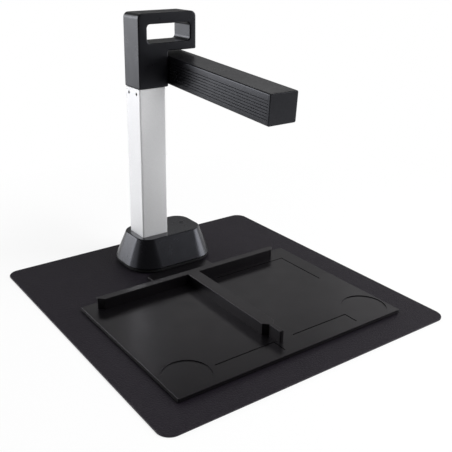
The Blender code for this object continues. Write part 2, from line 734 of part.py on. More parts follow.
def make_base_shell(parent):
    inner_top = BASE_TOP - BASE_WALL
    loops = [lift(top_outline(BASE_WALL), inner_top, "Z"), lift(base_outline(BASE_WALL), RIM_Z, "Z"),
             lift(base_outline(0.0), RIM_Z, "Z"), lift(top_outline(0.0), BASE_TOP - TOP_EDGE, "Z"),
             lift(top_outline(TOP_EDGE * 0.3), BASE_TOP - TOP_EDGE * 0.3, "Z"),
             lift(top_outline(TOP_EDGE), BASE_TOP, "Z")]
    shell = piece("base_shell", loft(bmesh.new(), loops), "black_shell", parent)

    boss_reach = BASE_WIDTH / 2 - BASE_WALL - BOSS_X - BOSS_RADIUS
    boss_top = RIM_Z + SHELL_HEIGHT * boss_reach / SIDE_TAPER + BITE
    bosses, pilots = bmesh.new(), bmesh.new()
    for u, v in CASE_SPOTS:
        prism(bosses, circle(BOSS_RADIUS, u, v, BOSS_STEPS), PLATE_FLOOR + CLEAR, boss_top)
        screw_hole(pilots, (u, v, PLATE_BOTTOM), "Z", 1, CASE_HEAD, CASE_SHANK, CLEAR)
    fuse(shell, bosses)
    cut(shell, pilots)

    cut_through(shell, column_outline(CLEAR), inner_top, BASE_TOP)
    cut_through(shell, circle(KEY_RADIUS + CLEAR, KEY_X), inner_top, BASE_TOP)
    back_wall = shell_half_depth(SOCKET_Z)
    reach = 3 * BASE_WALL
    cut(shell, solid(socket_outline(SOCKET_MARGIN), back_wall - reach, back_wall + reach, "Y"))


def make_base_plate(parent):
    lean = max(SIDE_TAPER, FRONT_TAPER) * STEP_RISE / SHELL_HEIGHT
    step_inset = BASE_WALL + CLEAR + lean
    tub_inset = step_inset + TUB_WALL
    steps = [(PLATE_INSET, PLATE_BOTTOM), (PLATE_INSET, PLATE_FLOOR), (step_inset, PLATE_FLOOR),
             (step_inset, STEP_TOP), (tub_inset, STEP_TOP), (tub_inset, PLATE_FLOOR)]
    loops = [lift(base_outline(inset), z, "Z") for inset, z in steps]
    plate = piece("base_plate", loft(bmesh.new(), loops), "black_matte", parent)

    posts, holes, seats = bmesh.new(), bmesh.new(), bmesh.new()
    for u, v in POST_SPOTS:
        prism(posts, circle(POST_RADIUS, u, v, BOSS_STEPS), PLATE_FLOOR - BITE, BOARD_BOTTOM - CLEAR)
    for number, (u, v) in enumerate(CASE_SPOTS, 1):
        place = (u, v, PLATE_BOTTOM)
        screw_hole(holes, place, "Z", 1, CASE_HEAD, CASE_SHANK, OVERCUT)
        screw(f"base_screw_{number}", "dark_steel", parent, place, "Z", 1, CASE_HEAD, CASE_SHANK)
    for number, (u, v) in enumerate(SOLE_SPOTS, 1):
        place = (u, v, PLATE_BOTTOM)
        screw_hole(holes, place, "Z", 1, CASE_HEAD, SOLE_SHANK, OVERCUT)
        screw(f"column_foot_screw_{number}", "steel", parent, place, "Z", 1, CASE_HEAD, SOLE_SHANK)
    for u, v in BOARD_SPOTS:
        screw_hole(holes, (u, v, BOARD_TOP + BOARD_HEAD_HEIGHT), "Z", -1, BOARD_HEAD, BOARD_SHANK, CLEAR)
    number = 0
    for side in (-1, 1):
        for end in (-1, 1):
            number += 1
            u, v = side * (BASE_WIDTH / 2 - FOOT_INSET), end * (BASE_DEPTH / 2 - FOOT_INSET)
            seat_top = PLATE_BOTTOM + FOOT_SEAT
            prism(seats, circle(FOOT_RADIUS + CLEAR, u, v), PLATE_BOTTOM - OVERCUT, seat_top)
            foot = solid(circle(FOOT_RADIUS, u, v), CLEAR, seat_top - CLEAR)
            piece(f"base_foot_{number}", foot, "rubber", parent)
    fuse(plate, posts)
    cut(plate, holes)
    cut(plate, seats)


def make_base_inside(parent):
    weight = span(WEIGHT_LEFT, -WEIGHT_WIDTH / 2, WEIGHT_RIGHT, WEIGHT_WIDTH / 2)
    ballast = solid(weight, WEIGHT_BOTTOM, WEIGHT_BOTTOM + WEIGHT_THICK)
    piece("base_weight", ballast, "steel", parent)

    socket_mouth = shell_half_depth(SOCKET_Z) - SOCKET_RECESS
    board_back = socket_mouth - SOCKET_REACH
    outline = span(BOARD_LEFT, -POST_Y - POST_RADIUS, BOARD_RIGHT, board_back)
    board = piece("main_board", solid(outline, BOARD_BOTTOM, BOARD_TOP), "board", parent)
    half = CONNECTOR_WIDTH / 2
    plug = span(BOARD_LEFT + CLEAR, -half, BOARD_LEFT + CONNECTOR_LENGTH, half)
    fuse(board, solid(plug, BOARD_TOP - BOARD_THICK / 2, BOARD_TOP + CONNECTOR_HEIGHT))
    holes = bmesh.new()
    for number, (u, v) in enumerate(BOARD_SPOTS, 1):
        way = circle(BOARD_SCREW_RADIUS + CLEAR, u, v, SCREW_STEPS)
        prism(holes, way, BOARD_BOTTOM - OVERCUT, BOARD_TOP + OVERCUT)
        top = BOARD_TOP + CLEAR + BOARD_HEAD_HEIGHT
        screw(f"board_screw_{number}", "steel", parent, (u, v, top), "Z", -1, BOARD_HEAD, BOARD_SHANK)
    cut(board, holes)

    body = solid(socket_outline(0.0), socket_mouth - SOCKET_LENGTH, socket_mouth, "Y")
    socket = piece("usb_socket", body, "steel", parent)
    floor = socket_mouth - SOCKET_DEPTH
    cut(socket, solid(socket_outline(-SOCKET_WALL), floor, socket_mouth + OVERCUT, "Y"))
    blade = rect(BLADE_WIDTH, BLADE_THICK, 0.0, SOCKET_X, SOCKET_Z)
    fuse(socket, solid(blade, floor - BITE, floor + BLADE_LENGTH, "Y"))

    key_bottom = BASE_TOP - BASE_WALL - CLEAR - KEY_FLANGE_THICK
    wide = KEY_RADIUS + KEY_FLANGE
    profile = [(wide, key_bottom), (wide, key_bottom + KEY_FLANGE_THICK),
               (KEY_RADIUS, key_bottom + KEY_FLANGE_THICK), (KEY_RADIUS, BASE_TOP)]
    piece("touch_key", turned(bmesh.new(), profile, KEY_X), "black_shell", parent)


# Column
def column_bore(inset):
    """Outline inside the column's walls, drawn in by an inset."""
    shrink = 2 * (COLUMN_WALL + inset)
    return rect(COLUMN_WIDTH - shrink, COLUMN_DEPTH - shrink, BORE_CORNER, COLUMN_SHIFT, 0.0, SMALL_STEPS)


COLUMN_HEAD = (COLUMN_HEAD_RADIUS, COLUMN_HEAD_HEIGHT)
COLUMN_SHANK = (COLUMN_SCREW_RADIUS, COLUMN_HEAD_HEIGHT + COLUMN_SCREW_LENGTH)
COLUMN_SPOTS = [(side * COLUMN_SCREW_SPREAD, COLUMN_TOP - COLUMN_SCREW_DROP) for side in (-1, 1)]
COLUMN_LEFT = COLUMN_SHIFT - COLUMN_WIDTH / 2


def column_screw_holes():
    holes = bmesh.new()
    for v, z in COLUMN_SPOTS:
        screw_hole(holes, (v, z, COLUMN_LEFT), "X", 1, COLUMN_HEAD, COLUMN_SHANK, CLEAR)
    return holes


def cable_hole():
    """Cross hole that lets the cable into the column."""
    return solid(circle(CABLE_HOLE, 0.0, CABLE_Z, BOSS_STEPS), COLUMN_SHIFT, SOLE_RIGHT, "X")


def make_column(parent):
    column = piece("column", solid(column_outline(0.0), COLUMN_BOTTOM, COLUMN_TOP), "silver", parent)
    cut_through(column, column_bore(0.0), COLUMN_BOTTOM, COLUMN_TOP)
    cut(column, column_screw_holes())
    cut(column, cable_hole())
    for number, (v, z) in enumerate(COLUMN_SPOTS, 1):
        place = (v, z, COLUMN_LEFT)
        screw(f"column_screw_{number}", "dark_steel", parent, place, "X", 1, COLUMN_HEAD, COLUMN_SHANK)

    sole = rect(SOLE_WIDTH, SOLE_DEPTH, SOLE_CORNER, COLUMN_SHIFT, 0.0, SMALL_STEPS)
    foot = piece("column_foot", solid(sole, SOLE_BOTTOM, SOLE_TOP), "cast_alloy", parent)
    fuse(foot, solid(column_bore(CLEAR), SOLE_TOP - BITE, SOLE_TOP + PLUG_RISE))
    cut_through(foot, column_bore(CLEAR + PLUG_WALL), SOLE_BOTTOM, SOLE_TOP + PLUG_RISE)
    cut(foot, cable_hole())
    threads = bmesh.new()
    for u, v in SOLE_SPOTS:
        screw_hole(threads, (u, v, PLATE_BOTTOM), "Z", 1, CASE_HEAD, SOLE_SHANK, CLEAR)
    cut(foot, threads)


# Head
def head_outline(inset, big, small):
    """Upside-down L seen from the front, drawn in by an inset."""
    left, right = HEAD_LEFT + inset, HEAD_RIGHT - inset
    leg, under = LEG_RIGHT - inset, UNDER_Z + inset
    bottom, top = HEAD_BOTTOM + inset, HEAD_TOP - inset
    return rounded([(left, bottom, small), (leg, bottom, small), (leg, under, small),
                    (right, under, small), (right, top, big), (left, top, big)])


def slot_outline(grow):
    """Handle slot seen from the front, grown by an offset."""
    left, right = HEAD_LEFT + SLOT_LEFT, HEAD_RIGHT - SLOT_RIGHT
    top = HEAD_TOP - SLOT_TOP
    bottom = top - SLOT_HEIGHT
    return rect(right - left + 2 * grow, top - bottom + 2 * grow, SLOT_CORNER + grow,
                (left + right) / 2, (top + bottom) / 2)


HEAD_HEAD = (HEAD_HEAD_RADIUS, HEAD_HEAD_HEIGHT)
HEAD_SHANK = (HEAD_SCREW_RADIUS, HEAD_SCREW_LENGTH)
BOSS_LINE = HEAD_WALL + HEAD_BOSS_GAP + HEAD_BOSS_RADIUS
HEAD_SPOTS = [(HEAD_LEFT + BOSS_LINE, PIVOT_Z + HEAD_BOSS_RISE),
              (HEAD_LEFT + BOSS_LINE, HEAD_TOP - BOSS_LINE),
              (HEAD_RIGHT - BOSS_LINE, UNDER_Z + HEAD_WALL + CLEAR + HEAD_BOSS_RADIUS)]


def make_head(parent):
    outer = head_outline(0.0, HEAD_CORNER, HEAD_SMALL_CORNER)
    shell = piece("head_shell", solid(outer, HEAD_FRONT, HEAD_BACK, "Y"), "black_shell", parent)
    soften(shell, HEAD_EDGE)
    inner_corner = HEAD_CORNER - HEAD_WALL
    cavity = head_outline(HEAD_WALL, inner_corner, HEAD_SMALL_CORNER)
    cut(shell, solid(cavity, HEAD_FRONT + HEAD_WALL, HEAD_BACK + OVERCUT, "Y"))
    fuse(shell, solid(slot_outline(SLEEVE_WALL), HEAD_FRONT + HEAD_WALL / 2, HEAD_BACK, "Y"))
    cut_through(shell, slot_outline(0.0), HEAD_FRONT, HEAD_BACK, "Y")
    bosses, holes = bmesh.new(), bmesh.new()
    cover_front = HEAD_BACK - COVER_THICK
    for number, (u, z) in enumerate(HEAD_SPOTS, 1):
        boss, place = circle(HEAD_BOSS_RADIUS, u, z, BOSS_STEPS), (u, z, HEAD_BACK)
        prism(bosses, boss, HEAD_FRONT + HEAD_WALL / 2, cover_front - CLEAR, "Y")
        screw_hole(holes, place, "Y", -1, HEAD_HEAD, HEAD_SHANK, CLEAR)
        screw(f"head_screw_{number}", "dark_steel", parent, place, "Y", -1, HEAD_HEAD, HEAD_SHANK)
    fuse(shell, bosses)
    cut(shell, holes)
    cut_through(shell, column_bore(0.0), HEAD_BOTTOM, HEAD_BOTTOM + HEAD_WALL)
    pin_way = circle(PIN_RADIUS + CLEAR, 0.0, PIVOT_Z)
    cut(shell, solid(pin_way, BEARING_RIGHT - CLEAR, LEG_RIGHT + OVERCUT, "X"))

    lid = head_outline(HEAD_WALL + CLEAR, inner_corner - CLEAR, HEAD_SMALL_CORNER)
    cover = piece("head_rear_cover", solid(lid, cover_front, HEAD_BACK, "Y"), "black_shell", parent)
    cut_through(cover, slot_outline(SLEEVE_WALL + CLEAR), cover_front, HEAD_BACK, "Y")
    screw_ways = bmesh.new()
    for u, z in HEAD_SPOTS:
        screw_hole(screw_ways, (u, z, HEAD_BACK), "Y", -1, HEAD_HEAD, HEAD_SHANK, OVERCUT)
    cut(cover, screw_ways)

    core_left, core_back = HEAD_LEFT + HEAD_WALL + CLEAR, cover_front - CLEAR
    core_front = HEAD_FRONT + HEAD_WALL + CLEAR
    sill = span(core_left, core_front, BEARING_RIGHT, core_back)
    core = piece("hinge_core", solid(sill, CORE_BOTTOM, CORE_BOTTOM + CORE_THICK), "cast_alloy", parent)
    fuse(core, solid(column_bore(CLEAR), COLUMN_TOP - SPIGOT_LENGTH, CORE_BOTTOM + BITE))
    bearing = span(BEARING_LEFT, -BEARING_HALF, BEARING_RIGHT, BEARING_HALF)
    fuse(core, solid(bearing, CORE_BOTTOM + BITE, PIVOT_Z + BEARING_RISE))
    channel = column_bore(CLEAR + SPIGOT_WALL)
    cut_through(core, channel, COLUMN_TOP - SPIGOT_LENGTH, CORE_BOTTOM + CORE_THICK)
    cut_through(core, circle(PIN_RADIUS + CLEAR, 0.0, PIVOT_Z), BEARING_LEFT, BEARING_RIGHT, "X")
    cut(core, column_screw_holes())


# Hinge parts that turn with the arm
def make_hinge(parent):
    flange_left = PIN_RIGHT - PIN_FLANGE_THICK
    profile = [(PIN_RADIUS, PIN_LEFT), (PIN_RADIUS, flange_left),
               (PIN_FLANGE_RADIUS, flange_left), (PIN_FLANGE_RADIUS, PIN_RIGHT)]
    pin = piece("hinge_pin", turned(bmesh.new(), profile, axis="X"), "steel", parent)
    cut_through(pin, circle(PIN_BORE), PIN_LEFT, PIN_RIGHT, "X")

    eye = circle(PIN_RADIUS + CLEAR)
    names = ["friction_washer"] + [f"spring_washer_{k}" for k in range(1, WASHER_COUNT)]
    for number, name in enumerate(names):
        right = BEARING_LEFT - CLEAR - number * (WASHER_THICK + CLEAR)
        left = right - WASHER_THICK
        washer = piece(name, solid(circle(WASHER_RADIUS), left, right, "X"), "steel", parent)
        cut_through(washer, eye, left, right, "X")

    nut_left = NUT_RIGHT - NUT_THICK
    hexagon = circle(NUT_FLATS / sqrt(3), steps=6)
    nut = piece("hinge_nut", solid(hexagon, nut_left, NUT_RIGHT, "X"), "steel", parent)
    cut_through(nut, eye, nut_left, NUT_RIGHT, "X")

    block = span(HUB_BACK - HUB_LENGTH, COVER_TOP + CLEAR, HUB_BACK, ARM_CEILING - CLEAR)
    hub = piece("arm_hub", solid(block, HUB_LEFT, HUB_RIGHT, "X"), "cast_alloy", parent)
    cut_through(hub, eye, HUB_LEFT, HUB_RIGHT, "X")


# Camera arm
ARM_HEAD = (ARM_HEAD_RADIUS, ARM_HEAD_HEIGHT)
ARM_SHANK = (ARM_SCREW_RADIUS, ARM_SCREW_LENGTH)
ARM_SPOTS = [(ARM_MIDDLE + side * ARM_BOSS_X, v) for v in ARM_BOSS_YS for side in (-1, 1)]
CAMERA_SPOTS = [(ARM_MIDDLE + side * (CAMERA_BOARD_WIDTH / 2 - CAMERA_POST_INSET),
                 CAMERA_Y - side * (CAMERA_BOARD_LENGTH / 2 - CAMERA_POST_INSET)) for side in (-1, 1)]


def runs_back(edge):
    """True for the edges of a side face, apart from its front one."""
    one, other = (vert.co for vert in edge.verts)
    return one.x == other.x and max(one.y, other.y) > ARM_FRONT + BITE


def make_arm_housing(parent):
    side = rounded([(ARM_FRONT, -ARM_TOP, 0.0), (ARM_TAIL, -ARM_TOP, ARM_TAIL_CORNER),
                    (ARM_TAIL, ARM_TOP, ARM_TAIL_CORNER), (ARM_FRONT, ARM_TOP, 0.0)], steps=4)
    bm = solid(side, ARM_LEFT, ARM_RIGHT, "X")
    long_edges = [edge for edge in bm.edges if runs_back(edge)]
    bmesh.ops.bevel(bm, geom=long_edges, offset=ARM_EDGE, segments=SMALL_STEPS, profile=0.5,
                    affect="EDGES", material=-1)
    housing = piece("arm_housing", bm, "black_shell", parent)

    room = span(ARM_LEFT + ARM_WALL, ARM_FRONT - OVERCUT, ARM_RIGHT - ARM_WALL, ARM_TAIL - ARM_WALL)
    cut(housing, solid(room, -ARM_TOP - OVERCUT, ARM_CEILING))
    grooves = bmesh.new()
    for number in range(GROOVE_COUNT):
        height = -ARM_TOP + GROOVE_LOW + number * GROOVE_PITCH
        for face in (ARM_LEFT, ARM_RIGHT):
            strip = rect(2 * GROOVE_DEPTH, GROOVE_WIDTH, 0.0, face, height)
            prism(grooves, strip, ARM_FRONT - OVERCUT, ARM_TAIL + OVERCUT, "Y")
    cut(housing, grooves)
    cut(housing, solid(circle(PIN_RADIUS + CLEAR), ARM_LEFT - OVERCUT, HUB_LEFT, "X"))

    posts, holes = bmesh.new(), bmesh.new()
    for u, v in ARM_SPOTS:
        prism(posts, circle(ARM_BOSS_RADIUS, u, v, BOSS_STEPS), COVER_TOP + CLEAR, ARM_CEILING + BITE)
        screw_hole(holes, (u, v, -ARM_TOP), "Z", 1, ARM_HEAD, ARM_SHANK, CLEAR)
    for u, v in CAMERA_SPOTS:
        post = circle(CAMERA_POST_RADIUS, u, v, SCREW_STEPS)
        prism(posts, post, CAMERA_BOARD_TOP + CLEAR, ARM_CEILING + BITE)
    fuse(housing, posts)
    cut(housing, holes)


def strip_outline(side, grow):
    """Lamp strip seen from below, on one side of the arm's middle, grown by an offset."""
    u = ARM_MIDDLE + side * STRIP_SPREAD
    return rect(STRIP_WIDTH + 2 * grow, STRIP_LENGTH + 2 * grow, 0.0, u, LAMP_Y)


def arm_section(shrink):
    """Arm seen from the front, drawn in by an inset."""
    width, height, corner = ARM_WIDTH - 2 * shrink, ARM_HEIGHT - 2 * shrink, ARM_EDGE - shrink / 2
    return rect(width, height, corner, ARM_MIDDLE, 0.0, SMALL_STEPS)


def make_arm_ends(parent):
    cap_back = -ARM_REACH + CAP_THICK
    steps = [(CAP_EDGE, -ARM_REACH), (0.0, -ARM_REACH + CAP_EDGE), (0.0, cap_back)]
    loops = [lift(arm_section(shrink), y, "Y") for shrink, y in steps]
    cap = piece("arm_end_cap", loft(bmesh.new(), loops), "black_shell", parent)
    inset = ARM_WALL + CLEAR
    plug = span(ARM_LEFT + inset, COVER_TOP + CLEAR, ARM_RIGHT - inset, ARM_CEILING - CLEAR)
    fuse(cap, solid(plug, cap_back - BITE, cap_back + CAP_PLUG, "Y"))
    room = span(ARM_LEFT + inset + CAP_WALL, COVER_TOP + CLEAR + CAP_WALL,
                ARM_RIGHT - inset - CAP_WALL, ARM_CEILING - CLEAR - CAP_WALL)
    cut(cap, solid(room, cap_back + CLEAR, cap_back + CAP_PLUG + OVERCUT, "Y"))

    sheet = span(ARM_LEFT + inset, ARM_FRONT, ARM_RIGHT - inset, ARM_TAIL - ARM_WALL - COVER_TAIL_GAP)
    cover = piece("arm_bottom_cover", solid(sheet, -ARM_TOP, COVER_TOP), "black_matte", parent)
    ways = bmesh.new()
    for number, (u, v) in enumerate(ARM_SPOTS, 1):
        screw_hole(ways, (u, v, -ARM_TOP), "Z", 1, ARM_HEAD, ARM_SHANK, OVERCUT)
        screw(f"arm_screw_{number}", "dark_steel", parent, (u, v, -ARM_TOP), "Z", 1, ARM_HEAD, ARM_SHANK)
    cut(cover, ways)
    seat = COVER_TOP - WINDOW_THICK - CLEAR
    profile = [(WINDOW_RADIUS - WINDOW_LEDGE, -ARM_TOP - OVERCUT), (WINDOW_RADIUS - WINDOW_LEDGE, seat),
               (WINDOW_RADIUS + CLEAR, seat), (WINDOW_RADIUS + CLEAR, COVER_TOP + OVERCUT)]
    cut(cover, turned(bmesh.new(), profile, ARM_MIDDLE, CAMERA_Y))
    strips = bmesh.new()
    for side in (-1, 1):
        prism(strips, strip_outline(side, CLEAR), -ARM_TOP - OVERCUT, COVER_TOP + OVERCUT)
    cut(cover, strips)


def lens_circle(radius):
    return circle(radius, ARM_MIDDLE, CAMERA_Y)


def make_camera(parent):
    board_outline = rect(CAMERA_BOARD_WIDTH, CAMERA_BOARD_LENGTH, 0.0, ARM_MIDDLE, CAMERA_Y)
    slab = solid(board_outline, CAMERA_BOARD_BOTTOM, CAMERA_BOARD_TOP)
    board = piece("camera_board", slab, "board", parent)
    back = CAMERA_Y + CAMERA_BOARD_LENGTH / 2
    plug_left = ARM_CABLE_X - CAMERA_PLUG_WIDTH / 2
    plug = span(plug_left, back - CAMERA_PLUG_LENGTH, plug_left + CAMERA_PLUG_WIDTH, back - CLEAR)
    fuse(board, solid(plug, CAMERA_BOARD_BOTTOM + CLEAR, -CAMERA_BOARD_TOP))

    top, seat = CAMERA_BOARD_BOTTOM - CLEAR, COVER_TOP + CLEAR
    profile = [(BARREL_COLLAR, top), (BARREL_COLLAR, top - BARREL_COLLAR_THICK),
               (BARREL_RADIUS, top - BARREL_COLLAR_THICK), (BARREL_RADIUS, seat)]
    barrel = piece("lens_barrel", turned(bmesh.new(), profile, ARM_MIDDLE, CAMERA_Y), "black_matte", parent)
    cut(barrel, solid(lens_circle(LENS_RADIUS + CLEAR), seat - OVERCUT, seat + LENS_SEAT))
    lens_top = seat + LENS_SEAT - CLEAR
    lens_low = lens_top - LENS_THICK
    dome = [(LENS_RADIUS, lens_top)]
    for share in (1.0, 0.75, 0.4):
        dome.append((LENS_RADIUS * share, lens_low + LENS_CROWN * share ** 2))
    piece("lens", turned(bmesh.new(), dome, ARM_MIDDLE, CAMERA_Y), "glass", parent)

    pane = solid(lens_circle(WINDOW_RADIUS), COVER_TOP - WINDOW_THICK, COVER_TOP)
    piece("camera_window", pane, "glass", parent)


def make_lamp(parent):
    flange_low = COVER_TOP + CLEAR
    flange_high = flange_low + STRIP_FLANGE_THICK
    for number, side in enumerate((-1, 1), 1):
        steps = [(0.0, -ARM_TOP), (0.0, flange_low), (STRIP_FLANGE, flange_low), (STRIP_FLANGE, flange_high)]
        loops = [lift(strip_outline(side, grow), z, "Z") for grow, z in steps]
        piece(f"lamp_diffuser_{number}", loft(bmesh.new(), loops), "diffuser", parent)
    outline = rect(LAMP_BOARD_WIDTH, LAMP_LENGTH, 0.0, ARM_MIDDLE, LAMP_Y)
    low = flange_high + CLEAR
    piece("lamp_board", solid(outline, low, low + LAMP_BOARD_THICK), "board", parent)


# Cable, in two lengths that meet inside the hollow hinge pin
def make_cables(stand, arm):
    bend = CABLE_BEND
    start = BOARD_LEFT - CLEAR
    corner = CABLE_X + bend
    points = straight((start, 0, CABLE_Z), (corner, 0, CABLE_Z))
    points += quarter((corner, 0, CABLE_Z + bend), (0, 0, -bend), (-bend, 0, 0))
    points += straight((CABLE_X, 0, CABLE_Z + bend), (CABLE_X, 0, PIVOT_Z - bend))
    points += quarter((corner, 0, PIVOT_Z - bend), (-bend, 0, 0), (0, 0, bend))
    points += straight((corner, 0, PIVOT_Z), (CABLE_MEET, 0, PIVOT_Z)) + [Vector((CABLE_MEET, 0, PIVOT_Z))]
    cable("column_cable", points, "jacket", stand)

    turn, turn_x = CABLE_TURN, ARM_CABLE_X
    end = CAMERA_Y + CAMERA_BOARD_LENGTH / 2
    points = straight((CABLE_MEET + CLEAR, 0, 0), (turn_x - turn, 0, 0))
    points += quarter((turn_x - turn, -turn, 0), (0, turn, 0), (turn, 0, 0))
    points += straight((turn_x, -turn, 0), (turn_x, end, 0)) + [Vector((turn_x, end, 0))]
    cable("arm_cable", points, "jacket", arm)


def main():
    for old in list(bpy.data.objects):
        bpy.data.objects.remove(old, do_unlink=True)
    make_mat()
    make_tray(frame("tray_frame", (TRAY_X, TRAY_Y, MAT_THICK)))
    stand = frame("stand_frame", (STAND_X, STAND_Y, MAT_THICK))
    make_base_shell(stand)
    make_base_plate(stand)
    make_base_inside(stand)
    make_column(stand)
    make_head(stand)
    arm = frame("arm_axis", (0.0, 0.0, PIVOT_Z), stand, ARM_DROOP)
    make_hinge(arm)
    make_arm_housing(arm)
    make_arm_ends(arm)
    make_camera(arm)
    make_lamp(arm)
    make_cables(stand, arm)


main()
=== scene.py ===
"""Looks of a desktop document scanner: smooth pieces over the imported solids, finishes and a small studio.

Lengths are in metres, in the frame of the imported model: +Z is up and -Y points to the user.
The arm is modelled level, measured from its hinge axis, and then turned to its drooping rest place.
"""

import json
from math import pi, radians

import bmesh
import bpy
from bpy.props import FloatProperty, FloatVectorProperty, IntProperty, PointerProperty
from bpy.types import Operator, Panel, PropertyGroup
from mathutils import Matrix, Vector


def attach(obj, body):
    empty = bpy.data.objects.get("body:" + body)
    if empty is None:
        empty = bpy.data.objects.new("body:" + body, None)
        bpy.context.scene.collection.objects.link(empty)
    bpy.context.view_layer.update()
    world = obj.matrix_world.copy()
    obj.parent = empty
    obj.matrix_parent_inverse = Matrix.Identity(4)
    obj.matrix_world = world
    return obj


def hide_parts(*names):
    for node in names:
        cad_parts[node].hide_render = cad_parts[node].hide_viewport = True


bl_info = {
    "name": "Document Scanner Looks",
    "version": (1, 0, 0),
    "blender": (4, 5, 0),
    "location": "3D View > Sidebar > Scanner",
    "description": "Builds the smooth pieces, finishes and studio of a desktop document scanner",
    "category": "Object",
}

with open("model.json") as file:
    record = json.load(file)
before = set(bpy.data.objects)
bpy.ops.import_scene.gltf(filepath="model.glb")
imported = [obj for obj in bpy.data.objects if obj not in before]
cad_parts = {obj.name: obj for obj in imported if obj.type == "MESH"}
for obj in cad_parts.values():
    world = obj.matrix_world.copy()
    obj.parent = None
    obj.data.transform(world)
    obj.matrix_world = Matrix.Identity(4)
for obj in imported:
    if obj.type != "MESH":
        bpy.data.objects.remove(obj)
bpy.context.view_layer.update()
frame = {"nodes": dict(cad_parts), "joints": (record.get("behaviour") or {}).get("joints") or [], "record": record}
RECORD = frame["record"]
BODY_OF = {node: body for body, nodes in RECORD["behaviour"]["bodies"].items() for node in nodes}
SLOT_OF = {row["node"]: row["material_slot"] for row in RECORD["subparts"]}

# The hinge that the arm hangs on, and the turn from the level arm to its rest place
FOLD = next(joint for joint in frame["joints"] if joint["name"] == "arm_fold")
ARM = Matrix.Translation(FOLD["pos_m"]) @ Matrix.Rotation(radians(-FOLD["range_deg"][0]), 4, "X")
LEVEL = ARM.inverted()
UPRIGHT = Matrix.Identity(4)

CLEAR = 0.0003  # gap between two pieces that seat on each other
PAST = 0.002  # how far a cutter runs past the face that it opens
BITE = 0.001  # how far a joined form reaches into the body that it grows from
SHY = 0.0001  # how far a joined form stays short of the face that covers it
HAIR = 1e-6  # points closer than this are one point
SHARP = radians(38)  # faces that meet at more than this keep a crease in the shading


# Settings


def size(name, description, default):
    return FloatProperty(name=name, description=description, default=default, min=0.0, precision=5,
                         unit="LENGTH")


def colour(name, description, default):
    return FloatVectorProperty(name=name, description=description, default=default, min=0.0, max=1.0,
                               size=3, subtype="COLOR")


def share(name, description, default):
    return FloatProperty(name=name, description=description, default=default, min=0.0, max=1.0,
                         subtype="FACTOR")


class MatSettings(PropertyGroup):
    corner: size("Corner radius", "Round corners of the desk mat", 0.014)
    edge: size("Edge rounding", "Softened rim of the rubber sheet", 0.0006)


class TraySettings(PropertyGroup):
    plate_depth: size("Plate depth", "Tray plate from front to back, without the tongue", 0.202)
    plate_thick: size("Plate thickness", "Tray plate from underside to top face", 0.0037)
    plate_corner: size("Plate corner", "Corner radius of the plate", 0.0012)
    edge: size("Edge rounding", "Softened rim of the plate", 0.0004)
    lip: size("Lip", "How far the bottom lip stands out all round", 0.0005)
    lip_thick: size("Lip thickness", "Height of the bottom lip", 0.001)
    lip_edge: size("Lip edge", "Softened edges of the lip", 0.00015)
    tongue_width: size("Tongue width", "Tongue that runs under the stand's front", 0.088)
    tongue_thick: size("Tongue thickness", "Height of the tongue", 0.002)
    tongue_chamfer: size("Tongue chamfer", "Cut corners at the tongue's end", 0.005)
    tongue_corner: size("Tongue corner", "Rounding of those cut corners", 0.001)
    tongue_edge: size("Tongue edge", "Softened edges of the tongue", 0.0003)
    fence_thick: size("Fence thickness", "Fence along the back, from front to back", 0.009)
    fence_back: size("Fence margin", "Plate's back edge to the fence", 0.0105)
    fence_left: size("Left margin", "Plate's left edge to the fence", 0.0145)
    fence_right: size("Right margin", "Plate's right edge to the fence", 0.027)
    fence_chamfer: size("Fence chamfer", "Cut front corners at both ends of the fence", 0.006)
    fence_edge: size("Fence edge", "Softened top edges of fence and divider", 0.0005)
    guide_corner: size("Guide corner", "Upright corners of fence and divider", 0.0004)
    divider_shift: size("Divider shift", "Divider's middle to the left of the plate's middle", 0.007)
    divider_width: size("Divider width", "Divider between the two bays", 0.0155)
    divider_length: size("Divider length", "Fence's front face to the divider's shoulders", 0.1385)
    nose_width: size("Nose width", "Thin nose at the divider's front end", 0.005)
    nose_length: size("Nose length", "Divider's shoulders to the tip of the nose", 0.0225)
    nose_corner: size("Nose corner", "Upright corners at the tip of the nose", 0.0008)
    wall: size("Wall", "Wall of fence and divider, which are hollow from below", 0.002)
    mark_width: size("Mark width", "Engraved corner marks", 0.0014)
    mark_depth: size("Mark depth", "Engraved corner marks", 0.0011)
    back_mark_offset: size("Back mark offset", "Divider to the corner of the back mark", 0.1253)
    back_mark_back: size("Back mark margin", "Fence to the back mark", 0.0055)
    back_mark_run: size("Back mark run", "Line along the fence", 0.103)
    back_mark_drop: size("Back mark drop", "Line towards the user", 0.071)
    front_mark_back: size("Front mark margin", "Plate's front edge to the front marks", 0.0265)
    front_mark_drop: size("Front mark drop", "Short lines towards the user", 0.018)
    right_mark_offset: size("Right mark offset", "Divider to the right front mark", 0.0873)
    right_mark_run: size("Right mark run", "Long line of the right front mark", 0.076)
    left_mark_offset: size("Left mark offset", "Divider's left face to the left front mark", 0.0018)
    left_mark_run: size("Left mark run", "Long line of the left front mark", 0.0745)
    thumb_radius: size("Thumb radius", "Round thumb recesses", 0.025)
    thumb_depth: size("Thumb depth", "Round thumb recesses", 0.0008)
    thumb_side: size("Thumb side", "Plate's sides to the middle of the thumb recesses", 0.027)
    thumb_front: size("Thumb front", "Plate's front edge to the middle of the thumb recesses", 0.0275)


